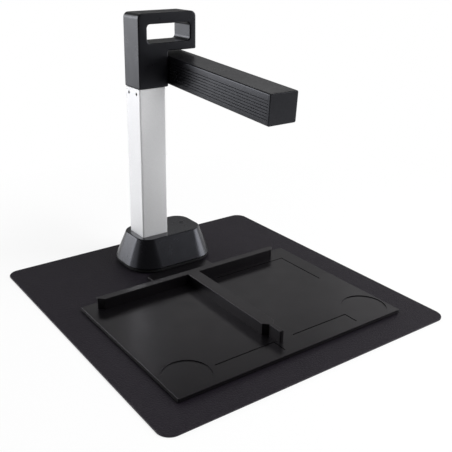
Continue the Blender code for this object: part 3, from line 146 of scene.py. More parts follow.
class BaseSettings(PropertyGroup):
    rim_corner: size("Rim corner", "Corner radius at the bottom rim", 0.034)
    top_corner: size("Top corner", "Corner radius at the top face", 0.018)
    side_taper: size("Side taper", "Rim to top edge, at the sides", 0.01375)
    front_taper: size("Front taper", "Rim to top edge, at front and back", 0.0155)
    top_edge: size("Top edge", "Rounding round the top face", 0.0012)
    rim_edge: size("Rim edge", "Rounding of the bottom rim", 0.0004)
    wall: size("Wall", "Wall of the shell", 0.0025)
    plate_inset: size("Plate inset", "Rim to the edge of the dark plate below", 0.0015)
    plate_thick: size("Plate thickness", "Visible edge of the dark plate", 0.0031)
    plate_edge: size("Plate edge", "Softened edges of the dark plate", 0.0005)
    step_inset: size("Step inset", "Rim to the plate's upstand inside the shell", 0.0041)
    step_wall: size("Step wall", "Wall of the upstand", 0.002)
    step_rise: size("Step rise", "Upstand above the rim", 0.0028)
    key_flange: size("Key flange", "Flange that holds the touch key from inside", 0.001)
    key_dish: size("Key dish", "Hollow in the middle of the touch key", 0.0003)
    key_edge: size("Key edge", "Softened rim of the touch key", 0.0002)
    key_bowl: share("Key bowl", "Share of the key's radius where its hollow starts to rise", 0.6)
    mouth_margin: size("Mouth margin", "Gap round the socket in the back", 0.0005)
    mouth_corner: size("Mouth corner", "Corner radius of the socket's mouth", 0.0018)
    mouth_depth: size("Mouth depth", "Socket's face to the inner end of its mouth", 0.006)
    mouth_reach: size("Mouth reach", "Socket's face to the outer end of the cut", 0.01)


class HeadSettings(PropertyGroup):
    corner: size("Top corners", "Round corners at the top", 0.0065)
    small_corner: size("Small corners", "Other corners of the outline", 0.0018)
    edge: size("Edge rounding", "Edges of front, back and slot", 0.0015)
    leg_width: size("Leg width", "Leg that stands on the column", 0.0398)
    overhang: size("Overhang height", "Part that reaches over the arm", 0.0448)
    slot_left: size("Slot left", "Left face to the handle slot", 0.012)
    slot_right: size("Slot right", "Right face to the handle slot", 0.0085)
    slot_top: size("Slot top", "Top face to the handle slot", 0.0128)
    slot_height: size("Slot height", "Height of the handle slot", 0.0217)
    slot_corner: size("Slot corner", "Corner radius of the handle slot", 0.0045)
    wall: size("Wall", "Wall of the shell", 0.0024)
    sleeve: size("Sleeve wall", "Wall round the handle slot", 0.002)
    lid_edge: size("Lid edge", "Softened rim of the cover in the back", 0.0003)
    pin_radius: size("Pin radius", "Hinge pin that leaves the leg's side", 0.006)


class ColumnSettings(PropertyGroup):
    corner: size("Corner radius", "Corners of the drawn profile", 0.002)
    wall: size("Wall", "Wall of the profile", 0.002)
    bore_corner: size("Bore corner", "Corner radius inside the profile", 0.0005)


class ArmSettings(PropertyGroup):
    edge: size("Edge rounding", "Long edges of the arm", 0.0019)
    tail_corner: size("Tail corner", "Rounded back end, seen from the side", 0.003)
    wall: size("Wall", "Wall of the housing", 0.0022)
    grooves: IntProperty(name="Grooves", description="Long grooves in each side", default=7, min=1)
    groove_width: size("Groove width", "Long grooves in both sides", 0.0014)
    groove_depth: size("Groove depth", "Long grooves in both sides", 0.0007)
    groove_pitch: size("Groove pitch", "Groove to groove", 0.00327)
    groove_low: size("Lowest groove", "Arm's underside to the lowest groove", 0.0068)
    cap_thick: size("Cap thickness", "Visible rim of the end cap", 0.0026)
    cap_edge: size("Cap edge", "Rounding of the end cap's face", 0.001)
    plug_low: size("Plug height", "End cap's lower edge to its plug", 0.0027)


class OpticsSettings(PropertyGroup):
    edge: size("Edge rounding", "Cover and lamp strips", 0.0003)
    ledge: size("Window ledge", "Cover that holds the camera window's rim", 0.0015)
    pane_edge: size("Window edge", "Softened rim of the camera window", 0.0002)
    strip_flange: size("Strip flange", "Rim that holds a lamp strip from inside", 0.001)
    strip_rim: size("Strip rim", "Thickness of that rim", 0.0008)
    strip_corner: size("Strip corner", "Corner radius of a lamp strip", 0.0003)
    gap_corner: size("Gap corner", "Corner radius of the opening round a lamp strip", 0.0004)
    lens_crown: size("Lens crown", "Height of the front lens's curve", 0.0004)
    collar: size("Collar", "How far the barrel's collar stands out", 0.0015)
    collar_thick: size("Collar thickness", "Collar along the axis", 0.003)
    recess: size("Recess", "Depth of the barrel's front opening", 0.0025)
    bore_chamfer: size("Bore chamfer", "Cut edge of that opening", 0.0004)
    barrel_edge: size("Barrel edge", "Softened edges of tube and collar", 0.0003)
    rings: IntProperty(name="Rings", description="Grip rings round the barrel", default=3, min=0)
    ring_pitch: size("Ring pitch", "Ring to ring", 0.0012)
    ring_width: size("Ring width", "Ring along the axis", 0.0006)
    ring_depth: size("Ring depth", "How deep a ring is cut", 0.0004)


class FinishSettings(PropertyGroup):
    mat: colour("Mat", "Grained rubber of the desk mat", (0.0088, 0.0070, 0.0106))
    tray: colour("Tray", "Textured plastic of the tray", (0.0030, 0.0027, 0.0032))
    black: colour("Shells", "Satin black of base, head and arm", (0.0043, 0.0042, 0.0050))
    sheen: colour("Sheen", "Cool tint of the light that the black shells throw back", (0.86, 0.88, 1.0))
    glint: colour("Glint", "Faint violet tint of the light that mat and tray throw back", (0.98, 0.92, 1.0))
    silver: colour("Column", "Satin anodised aluminium", (0.892, 0.892, 0.902))
    satin: share("Satin roughness", "Head and arm", 0.3)
    gloss: share("Gloss roughness", "Base shell", 0.25)
    anodised: share("Anodised roughness", "Column", 0.5)
    rubber: share("Mat roughness", "Desk mat", 0.52)


class StageSettings(PropertyGroup):
    camera: FloatVectorProperty(name="Camera", description="Place of the camera", subtype="TRANSLATION",
                                unit="LENGTH", default=(-0.4279, -0.6001, 0.3886))
    tilt: FloatProperty(name="Tilt", description="Camera's angle below the horizon", unit="ROTATION",
                        default=radians(18.54))
    heading: FloatProperty(name="Heading", description="Camera's turn to the right of straight ahead",
                           unit="ROTATION", default=radians(34.08))
    lens: FloatProperty(name="Lens", description="Focal length on a 36 mm sensor", unit="CAMERA",
                        default=55.61)
    shift: FloatVectorProperty(name="Shift", description="Lens shift across and up", size=2,
                               default=(0.063, -0.1))
    floor: colour("Floor", "Pale floor under the mat", (0.90, 0.90, 0.90))
    floor_radius: size("Floor radius", "Round floor under the object", 0.65)
    floor_drop: size("Floor drop", "Floor below the mat's underside", 0.0002)
    floor_white: share("Floor white", "Share of pure white in the floor next to the object", 0.82)
    fade_start: size("Fade start", "Where the floor starts to turn all white", 0.3)
    fade_end: size("Fade end", "Where the floor is all white", 0.6)
    fill: share("Fill", "Even light from all round", 0.16)


class ScannerSettings(PropertyGroup):
    mat: PointerProperty(type=MatSettings, name="Mat", description="Desk mat")
    tray: PointerProperty(type=TraySettings, name="Tray", description="Document tray")
    base: PointerProperty(type=BaseSettings, name="Base", description="Foot of the stand")
    head: PointerProperty(type=HeadSettings, name="Head", description="Head with the handle slot")
    column: PointerProperty(type=ColumnSettings, name="Column", description="Upright profile")
    arm: PointerProperty(type=ArmSettings, name="Arm", description="Camera arm")
    optics: PointerProperty(type=OpticsSettings, name="Optics", description="Underside of the arm")
    finish: PointerProperty(type=FinishSettings, name="Finishes", description="Colours and gloss")
    stage: PointerProperty(type=StageSettings, name="Stage", description="Floor, lamps and camera")


def settings():
    return bpy.context.scene.scanner


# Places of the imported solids


def points_of(node, turn=UPRIGHT):
    return [turn @ vert.co for vert in frame["nodes"][node].data.vertices]


def extent(node, turn=UPRIGHT):
    """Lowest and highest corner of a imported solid, after a turn."""
    points = points_of(node, turn)
    low = Vector([min(point[k] for point in points) for k in range(3)])
    high = Vector([max(point[k] for point in points) for k in range(3)])
    return low, high


def centre(low, high):
    """Middle of an extent, seen from above."""
    return (low.x + high.x) / 2, (low.y + high.y) / 2


# Mesh tools


def spot(u, v, w, axis):
    """Point at (u, v) across an axis and w along it."""
    if axis == "X":
        return Vector((w, u, v))
    if axis == "Y":
        return Vector((u, w, v))
    return Vector((u, v, w))


def box(u0, v0, u1, v1, radius=0.0):
    """Corners of a rectangle, each (u, v, radius)."""
    return [(u0, v0, radius), (u1, v0, radius), (u1, v1, radius), (u0, v1, radius)]


def plan(low, high, radius=0.0, across=0.0, along=None):
    """Rectangle of an extent seen from above, drawn in across and along."""
    along = across if along is None else along
    return box(low.x + across, low.y + along, high.x - across, high.y - along, radius)


def outline(corners, place, axis="Z", steps=8):
    """Flat face through (u, v, radius) corners, rounded by vertex bevels."""
    bm = bmesh.new()
    verts = [bm.verts.new(spot(u, v, place, axis)) for u, v, _ in corners]
    bm.faces.new(verts)
    for vert, (_, _, radius) in zip(verts, corners):
        if radius > 0:
            bmesh.ops.bevel(bm, geom=[vert], offset=radius, segments=steps, profile=0.5,
                            affect="VERTICES", material=-1)
    return bm


def join(bm, *others):
    """Adds the faces of other meshes, which are used up."""
    for other in others:
        store = bpy.data.meshes.new("store")
        other.to_mesh(store)
        other.free()
        bm.from_mesh(store)
        bpy.data.meshes.remove(store)
    return bm


def draw_out(bm, reach, axis):
    """Closed body: the flat faces drawn out along an axis."""
    made = bmesh.ops.extrude_face_region(bm, geom=bm.faces[:])
    verts = [item for item in made["geom"] if isinstance(item, bmesh.types.BMVert)]
    bmesh.ops.translate(bm, verts=verts, vec=spot(0.0, 0.0, reach, axis))
    bmesh.ops.recalc_face_normals(bm, faces=bm.faces)
    return bm


def slab(corners, low, high, axis="Z", steps=8):
    return draw_out(outline(corners, low, axis, steps), high - low, axis)


def ring(outer, inner, low, high, axis="Z", steps=8):
    """Slab with an opening right through it."""
    bm = join(outline(outer, low, axis, steps), outline(inner, low, axis, steps))
    bmesh.ops.delete(bm, geom=bm.faces[:], context="FACES_ONLY")
    bmesh.ops.triangle_fill(bm, use_beauty=True, use_dissolve=False, edges=bm.edges[:])
    return draw_out(bm, high - low, axis)


def tapered(lower, low, upper, high, steps=16):
    """Closed body between two outlines at different heights."""
    bm = join(outline(lower, low, "Z", steps), outline(upper, high, "Z", steps))
    bmesh.ops.bridge_loops(bm, edges=bm.edges[:])
    bmesh.ops.recalc_face_normals(bm, faces=bm.faces)
    return bm


def turned(profile, middle, axis="Z", steps=48):
    """Body of revolution from (radius, place along the axis) pairs that start and end on the axis."""
    bm = bmesh.new()
    verts = [bm.verts.new(spot(radius, 0.0, along, axis)) for radius, along in profile]
    edges = [bm.edges.new(pair) for pair in zip(verts, verts[1:])]
    bmesh.ops.spin(bm, geom=verts + edges, cent=(0, 0, 0), axis=spot(0, 0, 1, axis), angle=2 * pi,
                   steps=steps, use_merge=True)
    bmesh.ops.remove_doubles(bm, verts=bm.verts, dist=HAIR)
    bmesh.ops.recalc_face_normals(bm, faces=bm.faces)
    bmesh.ops.translate(bm, verts=bm.verts, vec=spot(*middle, 0.0, axis))
    return bm


def rod(radius, middle, low, high, axis="Z", steps=48):
    return turned([(0.0, low), (radius, low), (radius, high), (0.0, high)], middle, axis, steps)


def crisp(bm, angle=40):
    """Edges where two faces meet at more than an angle."""
    return [edge for edge in bm.edges if edge.is_manifold and edge.calc_face_angle() > radians(angle)]


def at(edges, axis, place):
    """Those edges that lie across an axis at one place."""
    k = "XYZ".index(axis)
    return [edge for edge in edges if all(abs(vert.co[k] - place) < 10 * HAIR for vert in edge.verts)]


def soften(bm, width, edges=None, steps=3):
    """Rounds edges, or all the crisp ones."""
    picked = crisp(bm) if edges is None else edges
    bmesh.ops.bevel(bm, geom=picked, offset=width, segments=steps, profile=0.5, affect="EDGES", material=-1)
    return bm


def solid(name, bm):
    """Object of a mesh, which is used up."""
    mesh = bpy.data.meshes.new(name)
    bm.to_mesh(mesh)
    bm.free()
    made = bpy.data.objects.new(name, mesh)
    bpy.context.scene.collection.objects.link(made)
    return made


def combine(bm, add=(), cut=()):
    """Body with forms added and then cut away."""
    body = solid("tool", bm)
    used = [body]
    for operation, forms in (("UNION", add), ("DIFFERENCE", cut)):
        for form in forms:
            used.append(solid("tool", form))
            step = body.modifiers.new(operation, "BOOLEAN")
            step.operation = operation
            step.solver = "EXACT"
            step.object = used[-1]
    done = bmesh.new()
    done.from_object(body, bpy.context.evaluated_depsgraph_get())
    for item in used:
        mesh = item.data
        bpy.data.objects.remove(item)
        bpy.data.meshes.remove(mesh)
    bmesh.ops.remove_doubles(done, verts=done.verts, dist=HAIR)
    return done


def piece(name, bm, finish, node, place=UPRIGHT):
    """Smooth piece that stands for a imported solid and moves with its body."""
    bmesh.ops.transform(bm, matrix=place, verts=bm.verts)
    made = solid(name, bm)
    made.data.shade_smooth()
    made.data.set_sharp_from_angle(angle=SHARP)
    made.data.materials.append(finish)
    even = made.modifiers.new("even_normals", "WEIGHTED_NORMAL")
    even.keep_sharp = True
    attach(made, BODY_OF[node])
    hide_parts(node)
    return made


# Finishes

NOISE_SPAN = (0.3, 0.7)  # where most of a noise's values lie


def add_node(tree, kind, values=(), links=(), **options):
    """Node with its options, input values and incoming links set."""
    made = tree.nodes.new(kind)
    for name, value in options.items():
        setattr(made, name, value)
    for name, value in dict(values).items():
        made.inputs[name].default_value = value
    for name, source in dict(links).items():
        tree.links.new(source, made.inputs[name])
    return made


def plain(name, tint, roughness, metallic=0.0, specular=0.5, sheen=(1.0, 1.0, 1.0)):
    """Material with its even values set on the shader."""
    made = bpy.data.materials.new(name)
    made.use_nodes = True
    shader = made.node_tree.nodes["Principled BSDF"]
    shader.inputs["Base Color"].default_value = (*tint, 1.0)
    shader.inputs["Roughness"].default_value = roughness
    shader.inputs["Metallic"].default_value = metallic
    shader.inputs["Specular IOR Level"].default_value = specular
    shader.inputs["Specular Tint"].default_value = (*sheen, 1.0)
    return made


def feed(made, socket, value):
    """Leads a value to a socket of the material's shader."""
    tree = made.node_tree
    tree.links.new(value, tree.nodes["Principled BSDF"].inputs[socket])


def noise(made, grain, detail=2.0, stretch=(1.0, 1.0, 1.0)):
    """Noise on object coordinates with a grain in metres, drawn out along the axes by a stretch."""
    tree = made.node_tree
    where = add_node(tree, "ShaderNodeTexCoord")
    turn = add_node(tree, "ShaderNodeMapping", {"Scale": [1.0 / part for part in stretch]},
                    {"Vector": where.outputs["Object"]})
    speckle = add_node(tree, "ShaderNodeTexNoise", {"Scale": 1.0 / grain, "Detail": detail},
                       {"Vector": turn.outputs["Vector"]})
    return speckle.outputs["Fac"]


def mottle(made, value, tint, amount):
    """Colour that wavers round a tint by an amount."""
    dark, light = [(*[part * level for part in tint], 1.0) for level in (1.0 - amount, 1.0 + amount)]
    blend = add_node(made.node_tree, "ShaderNodeMix", {"A": dark, "B": light}, {"Factor": value},
                     data_type="RGBA")
    feed(made, "Base Color", blend.outputs["Result"])


def waver(made, value, middle, spread):
    """Roughness that wavers round a middle by a spread."""
    span = {"From Min": NOISE_SPAN[0], "From Max": NOISE_SPAN[1],
            "To Min": middle - spread, "To Max": middle + spread}
    spread = add_node(made.node_tree, "ShaderNodeMapRange", span, {"Value": value})
    feed(made, "Roughness", spread.outputs["Result"])


def emboss(made, value, height, strength=0.5):
    """Fine relief, with its height in metres."""
    bump = add_node(made.node_tree, "ShaderNodeBump", {"Strength": strength, "Distance": height},
                    {"Height": value})
    feed(made, "Normal", bump.outputs["Normal"])


def mat_rubber():
    """Matt rubber sheet with a fine pebbled grain."""
    look = settings().finish
    made = plain("mat_rubber", look.mat, look.rubber, specular=0.41, sheen=look.glint)
    pebbles = noise(made, grain=0.0017, detail=3.0)
    mottle(made, pebbles, look.mat, amount=0.8)
    waver(made, noise(made, grain=0.03), look.rubber, spread=0.015)
    emboss(made, pebbles, height=0.001, strength=0.6)
    return made


def tray_plastic():
    """Moulded plastic with a fine spark texture."""
    look = settings().finish
    made = plain("tray_plastic", look.tray, roughness=0.3, specular=0.42, sheen=look.glint)
    mottle(made, noise(made, grain=0.004, detail=3.0), look.tray, amount=0.06)
    waver(made, noise(made, grain=0.02, detail=3.0), middle=0.3, spread=0.02)
    emboss(made, noise(made, grain=0.0005), height=0.00002)
    return made


def shell_plastic(name, roughness, specular, relief):
    """Black moulded shell with a fine skin."""
    look = settings().finish
    made = plain(name, look.black, roughness, specular=specular, sheen=look.sheen)
    mottle(made, noise(made, grain=0.003, detail=3.0), look.black, amount=0.08)
    waver(made, noise(made, grain=0.012, detail=3.0), roughness, spread=0.03)
    emboss(made, noise(made, grain=0.0004), relief)
    return made


def satin_black():
    return shell_plastic("satin_black", settings().finish.satin, specular=0.43, relief=0.000002)


def gloss_black():
    return shell_plastic("gloss_black", settings().finish.gloss, specular=0.54, relief=0.000003)


def matte_black():
    """Dull black of the parts that stay in the shade."""
    tint = (0.012, 0.012, 0.013)
    made = plain("matte_black", tint, roughness=0.6, specular=0.25)
    mottle(made, noise(made, grain=0.002, detail=3.0), tint, amount=0.1)
    waver(made, noise(made, grain=0.01), middle=0.605, spread=0.055)
    emboss(made, noise(made, grain=0.0006), height=0.00005)
    return made


def anodised_silver():
    """Blasted and anodised aluminium with faint lines along the profile."""
    look = settings().finish
    made = plain("anodised_silver", look.silver, look.anodised, metallic=0.5)
    mottle(made, noise(made, grain=0.0011, detail=4.0), look.silver, amount=0.07)
    lines = noise(made, grain=0.0012, stretch=(1.0, 1.0, 60.0))
    waver(made, lines, look.anodised, spread=0.05)
    emboss(made, noise(made, grain=0.0005, detail=3.0), height=0.00002)
    return made


def bare_metal(name, tint, roughness, grain, height):
    """Metal with a fine worked surface."""
    made = plain(name, tint, roughness, metallic=1.0)
    mottle(made, noise(made, grain * 3, detail=3.0), tint, amount=0.08)
    waver(made, noise(made, grain * 5), roughness, spread=0.06)
    emboss(made, noise(made, grain), height)
    return made


def bright_steel():
    return bare_metal("bright_steel", (0.45, 0.45, 0.46), roughness=0.3, grain=0.0004, height=0.00001)


def blackened_steel():
    return bare_metal("blackened_steel", (0.06, 0.06, 0.065), roughness=0.4, grain=0.0004, height=0.00001)


def cast_alloy():
    return bare_metal("cast_alloy", (0.40, 0.40, 0.41), roughness=0.5, grain=0.0008, height=0.00006)


def sole_rubber():
    """Soft rubber of feet and pads."""
    tint = (0.015, 0.015, 0.015)
    made = plain("sole_rubber", tint, roughness=0.85, specular=0.2)
    mottle(made, noise(made, grain=0.001, detail=3.0), tint, amount=0.2)
    emboss(made, noise(made, grain=0.0006), height=0.00006)
    return made


def solder_mask():
    """Green lacquer of the circuit boards, with copper areas showing through."""
    tint = (0.02, 0.12, 0.05)
    made = plain("solder_mask", tint, roughness=0.4)
    mottle(made, noise(made, grain=0.003, detail=0.0, stretch=(1.0, 6.0, 1.0)), tint, amount=0.35)
    waver(made, noise(made, grain=0.004), middle=0.4, spread=0.05)
    return made


def clear_glass():
    """Clear pane and lens with a faint cool tint."""
    made = plain("clear_glass", (0.93, 0.96, 0.98), roughness=0.03)
    made.node_tree.nodes["Principled BSDF"].inputs["Transmission Weight"].default_value = 1.0
    waver(made, noise(made, grain=0.004), middle=0.035, spread=0.015)
    return made


def opal_strip():
    """Milky lamp cover."""
    tint = (0.85, 0.85, 0.82)
    made = plain("opal_strip", tint, roughness=0.4)
    mottle(made, noise(made, grain=0.004), tint, amount=0.03)
    waver(made, noise(made, grain=0.006), middle=0.405, spread=0.045)
    return made


def cable_jacket():
    """Smooth jacket of the leads inside."""
    tint = (0.02, 0.02, 0.02)
    made = plain("cable_jacket", tint, roughness=0.55)
    mottle(made, noise(made, grain=0.002), tint, amount=0.15)
    return made


FINISHES = {
    "mat": mat_rubber,
    "tray": tray_plastic,
    "black_shell": satin_black,
    "gloss_shell": gloss_black,
    "black_matte": matte_black,
    "silver": anodised_silver,
    "steel": bright_steel,
    "dark_steel": blackened_steel,
    "cast_alloy": cast_alloy,
    "rubber": sole_rubber,
    "board": solder_mask,
    "glass": clear_glass,
    "diffuser": opal_strip,
    "jacket": cable_jacket,
}


def finish(slot):
    """Material of a finish, made at its first use."""
    make = FINISHES[slot]
    return bpy.data.materials.get(make.__name__) or make()


# Small pieces that come in numbers

FOOT_EDGE = 0.0003  # softened edges of feet and pads
SCREW_EDGE = 0.00015  # softened rim of a screw's head
SCREW_STEPS = 32  # faces round a screw
DIGITS = 5  # decimals that tell a packed screw's steps apart


def disc(name, node, underside):
    """Makes a rubber foot or pad, and gives the cutter for its pocket in an underside."""
    low, high = extent(node)
    middle, radius = centre(low, high), (high.x - low.x) / 2
    piece(name, soften(rod(radius, middle, low.z, high.z), FOOT_EDGE), finish("rubber"), node)
    return rod(radius + CLEAR, middle, underside - PAST, high.z + CLEAR)


def seat(node, inward, turn):
    """Cutter for a screw's counterbore, running past the outer face."""
    low, high = extent(node, turn)
    middle = (low + high) / 2
    k = max(range(3), key=lambda n: abs(inward[n]))
    across = [middle[n] for n in range(3) if n != k]
    radius = (high - low)[(k + 1) % 3] / 2 + CLEAR
    start, end = (low[k] - PAST, high[k]) if inward[k] > 0 else (low[k], high[k] + PAST)
    return rod(radius, across, start, end, "XYZ"[k], SCREW_STEPS)


def screw(name, node, inward, turn=UPRIGHT, place=UPRIGHT):
    """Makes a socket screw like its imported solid, driven along a direction, and gives its seat's cutter."""
    inward = Vector(inward)
    points = points_of(node, turn)
    low, high = extent(node, turn)
    depth = abs((high - low).dot(inward))
    start = (low + high) / 2 - inward * depth / 2
    alongs = sorted({round((point - start).dot(inward), DIGITS) for point in points})
    radii = sorted({round((point - start).cross(inward).length, DIGITS) for point in points})
    if len(alongs) != 4 or len(radii) != 3:
        raise RuntimeError(f"{node} is not a plain socket screw")
    socket, shank, head = radii
    floor, under = alongs[1:3]
    profile = [(0.0, 0.0), (head, 0.0), (head, under), (shank, under), (shank, depth), (0.0, depth)]
    bm = turned(profile, (0.0, 0.0), steps=SCREW_STEPS)
    soften(bm, SCREW_EDGE, at(crisp(bm), "Z", 0.0), steps=2)
    key = bmesh.new()
    bmesh.ops.create_cone(key, cap_ends=True, segments=6, radius1=socket, radius2=socket, depth=2 * floor)
    drive = Matrix.Translation(start) @ inward.to_track_quat("Z", "Y").to_matrix().to_4x4()
    piece(name, combine(bm, cut=[key]), finish(SLOT_OF[node]), node, place @ drive)
    return seat(node, inward, turn)


# Operators: one for each piece or group of like pieces


class SCANNER_OT_mat(Operator):
    """Rubber sheet that everything stands on"""

    bl_idname = "scanner.mat"
    bl_label = "Desk Mat"

    def execute(self, context):
        sizes = settings().mat
        low, high = extent("desk_mat")
        bm = slab(plan(low, high, sizes.corner), low.z, high.z, steps=14)
        piece("mat_sheet", soften(bm, sizes.edge), finish("mat"), "desk_mat")
        return {"FINISHED"}


class SCANNER_OT_tray(Operator):
    """Document tray with its fence, divider, marks and thumb recesses, and the pads below it"""

    bl_idname = "scanner.tray"
    bl_label = "Document Tray"

    def guide(self, sizes, left, right, middle, back, front):
        """Fence and divider seen from above."""
        half, nose = sizes.divider_width / 2, sizes.nose_width / 2
        shoulder = front - sizes.divider_length
        neck, tip = shoulder - (half - nose), shoulder - sizes.nose_length
        chamfer, corner, blunt = sizes.fence_chamfer, sizes.guide_corner, sizes.nose_corner
        return [(left, back, corner), (left, front + chamfer, corner), (left + chamfer, front, corner),
                (middle - half, front, corner), (middle - half, shoulder, corner),
                (middle - nose, neck, corner), (middle - nose, tip, blunt),
                (middle + nose, tip, blunt), (middle + nose, neck, corner),
                (middle + half, shoulder, corner), (middle + half, front, corner),
                (right - chamfer, front, corner), (right, front + chamfer, corner), (right, back, corner)]

    def mark(self, sizes, u, v, run, drop, top):
        """Cutter for one engraved corner: a line to the left and one towards the user."""
        width = sizes.mark_width
        corners = [(u - run, v, 0.0), (u - run, v - width, 0.0), (u - width, v - width, 0.0),
                   (u - width, v - drop, 0.0), (u, v - drop, 0.0), (u, v, 0.0)]
        return slab(corners, top - sizes.mark_depth, top + PAST)

    def execute(self, context):
        sizes = settings().tray
        low, high = extent("document_tray")
        left, right, front = low.x + sizes.lip, high.x - sizes.lip, low.y + sizes.lip
        back, top = front + sizes.plate_depth, low.z + sizes.plate_thick
        fence_back = back - sizes.fence_back
        fence_front = fence_back - sizes.fence_thick
        fence_left, fence_right = left + sizes.fence_left, right - sizes.fence_right
        middle = (left + right) / 2 - sizes.divider_shift
        half = sizes.divider_width / 2

        plate = slab(box(left, front, right, back, sizes.plate_corner), low.z, top, steps=4)
        soften(plate, sizes.edge)
        lip_low = low.z + CLEAR
        lip = slab(box(low.x, low.y, high.x, back + sizes.lip, sizes.plate_corner + sizes.lip),
                   lip_low, lip_low + sizes.lip_thick, steps=4)
        soften(lip, sizes.lip_edge, steps=2)
        tongue_left = (left + right - sizes.tongue_width) / 2
        tongue_right = tongue_left + sizes.tongue_width
        cut, corner = sizes.tongue_chamfer, sizes.tongue_corner
        corners = [(tongue_left, back - cut, 0.0), (tongue_right, back - cut, 0.0),
                   (tongue_right, high.y - cut, corner), (tongue_right - cut, high.y, corner),
                   (tongue_left + cut, high.y, corner), (tongue_left, high.y - cut, corner)]
        tongue = slab(corners, lip_low, lip_low + sizes.tongue_thick, steps=3)
        soften(tongue, sizes.tongue_edge)
        corners = self.guide(sizes, fence_left, fence_right, middle, fence_back, fence_front)
        guide = slab(corners, top - BITE, high.z, steps=2)
        soften(guide, sizes.fence_edge, at(crisp(guide), "Z", high.z))

        wall, ends = sizes.wall, sizes.fence_chamfer + sizes.wall
        core_left, core_right = fence_left + ends, fence_right - ends
        core_back, core_front = fence_back - wall, fence_front + wall
        stem_left, stem_right = middle - half + wall, middle + half - wall
        stem_front = core_front - sizes.divider_length
        core = [(core_left, core_back, 0.0), (core_left, core_front, 0.0), (stem_left, core_front, 0.0),
                (stem_left, stem_front, 0.0), (stem_right, stem_front, 0.0), (stem_right, core_front, 0.0),
                (core_right, core_front, 0.0), (core_right, core_back, 0.0)]
        near, drop = front + sizes.front_mark_back, sizes.front_mark_drop
        marks = ((middle + half + sizes.back_mark_offset, fence_front - sizes.back_mark_back,
                  sizes.back_mark_run, sizes.back_mark_drop),
                 (middle + half + sizes.right_mark_offset, near, sizes.right_mark_run, drop),
                 (middle - half + sizes.left_mark_offset, near, sizes.left_mark_run, drop))
        cuts = [slab(core, low.z - PAST, high.z - wall)]
        cuts += [self.mark(sizes, *mark, top) for mark in marks]
        for u in (left + sizes.thumb_side, right - sizes.thumb_side):
            cuts.append(rod(sizes.thumb_radius, (u, front + sizes.thumb_front), top - sizes.thumb_depth,
                            top + PAST, steps=128))
        cuts += [disc(f"pad_{k}", f"tray_pad_{k}", low.z) for k in range(1, 5)]
        bm = combine(plate, add=[lip, tongue, guide], cut=cuts)
        piece("tray_moulding", bm, finish("tray"), "document_tray")
        return {"FINISHED"}


class SCANNER_OT_base(Operator):
    """Tapered shell of the stand's foot, the dark plate below it, its feet, screws and touch key"""

    bl_idname = "scanner.base"
    bl_label = "Base"

    def execute(self, context):
        sizes = settings().base
        low, high = extent("base_shell")
        rim = max(points_of("base_shell"), key=lambda point: point.x).z
        side, front, wall = sizes.side_taper, sizes.front_taper, sizes.wall
        shell = tapered(plan(low, high, sizes.rim_corner), rim,
                        plan(low, high, sizes.top_corner, side, front), high.z)
        soften(shell, sizes.top_edge, at(crisp(shell), "Z", high.z), steps=5)
        hollow = tapered(plan(low, high, sizes.rim_corner - wall, wall), rim - BITE,
                         plan(low, high, sizes.top_corner - wall, side + wall, front + wall), high.z - wall)
        opening = slab(plan(*extent("column"), settings().column.corner + CLEAR, -CLEAR),
                       high.z - 2 * wall, high.z + PAST, steps=4)
        key_low, key_high = extent("touch_key")
        key_middle, flange = centre(key_low, key_high), sizes.key_flange
        key_radius = (key_high.x - key_low.x) / 2 - flange
        keyhole = rod(key_radius + CLEAR, key_middle, high.z - 2 * wall, high.z + PAST)
        port_low, port_high = extent("usb_socket")
        gap = sizes.mouth_margin
        mouth = slab(box(port_low.x - gap, port_low.z - gap, port_high.x + gap, port_high.z + gap,
                         sizes.mouth_corner),
                     port_high.y - sizes.mouth_depth, port_high.y + sizes.mouth_reach, "Y")
        shell = combine(shell, cut=[hollow, opening, keyhole, mouth])
        soften(shell, sizes.rim_edge, at(crisp(shell), "Z", rim), steps=2)
        piece("base_cover", shell, finish("gloss_shell"), "base_shell")

        edge, ledge = sizes.key_edge, key_low.z + flange
        dish = [(0.0, high.z - sizes.key_dish), (key_radius * sizes.key_bowl, high.z - edge),
                (key_radius - edge, high.z), (key_radius, high.z - edge), (key_radius, ledge),
                (key_radius + flange, ledge), (key_radius + flange, key_low.z), (0.0, key_low.z)]
        piece("touch_button", turned(dish, key_middle), finish("black_shell"), "touch_key")

        underside = extent("base_plate")[0].z
        floor = underside + sizes.plate_thick
        inset, step = sizes.plate_inset, sizes.step_inset
        plate = slab(plan(low, high, sizes.rim_corner - inset, inset), underside, floor, steps=16)
        soften(plate, sizes.plate_edge)
        inner = step + sizes.step_wall
        upstand = ring(plan(low, high, sizes.rim_corner - step, step),
                       plan(low, high, sizes.rim_corner - inner, inner),
                       floor - BITE, rim + sizes.step_rise, steps=16)
        cuts = [disc(f"foot_{k}", f"base_foot_{k}", underside) for k in range(1, 5)]
        screws = [f"base_screw_{k}" for k in range(1, 5)] + [f"column_foot_screw_{k}" for k in range(1, 3)]
        cuts += [screw(f"sole_screw_{k}", node, (0, 0, 1)) for k, node in enumerate(screws, 1)]
        piece("base_sole", combine(plate, add=[upstand], cut=cuts), finish("black_matte"), "base_plate")
        return {"FINISHED"}


class SCANNER_OT_column(Operator):
    """Drawn aluminium profile and the two screws below the head"""

    bl_idname = "scanner.column"
    bl_label = "Column"

    def execute(self, context):
        sizes = settings().column
        low, high = extent("column")
        bm = ring(plan(low, high, sizes.corner), plan(low, high, sizes.bore_corner, sizes.wall),
                  low.z, high.z, steps=5)
        cuts = [screw(f"profile_screw_{k}", f"column_screw_{k}", (1, 0, 0)) for k in range(1, 3)]
        piece("column_profile", combine(bm, cut=cuts), finish("silver"), "column")
        return {"FINISHED"}


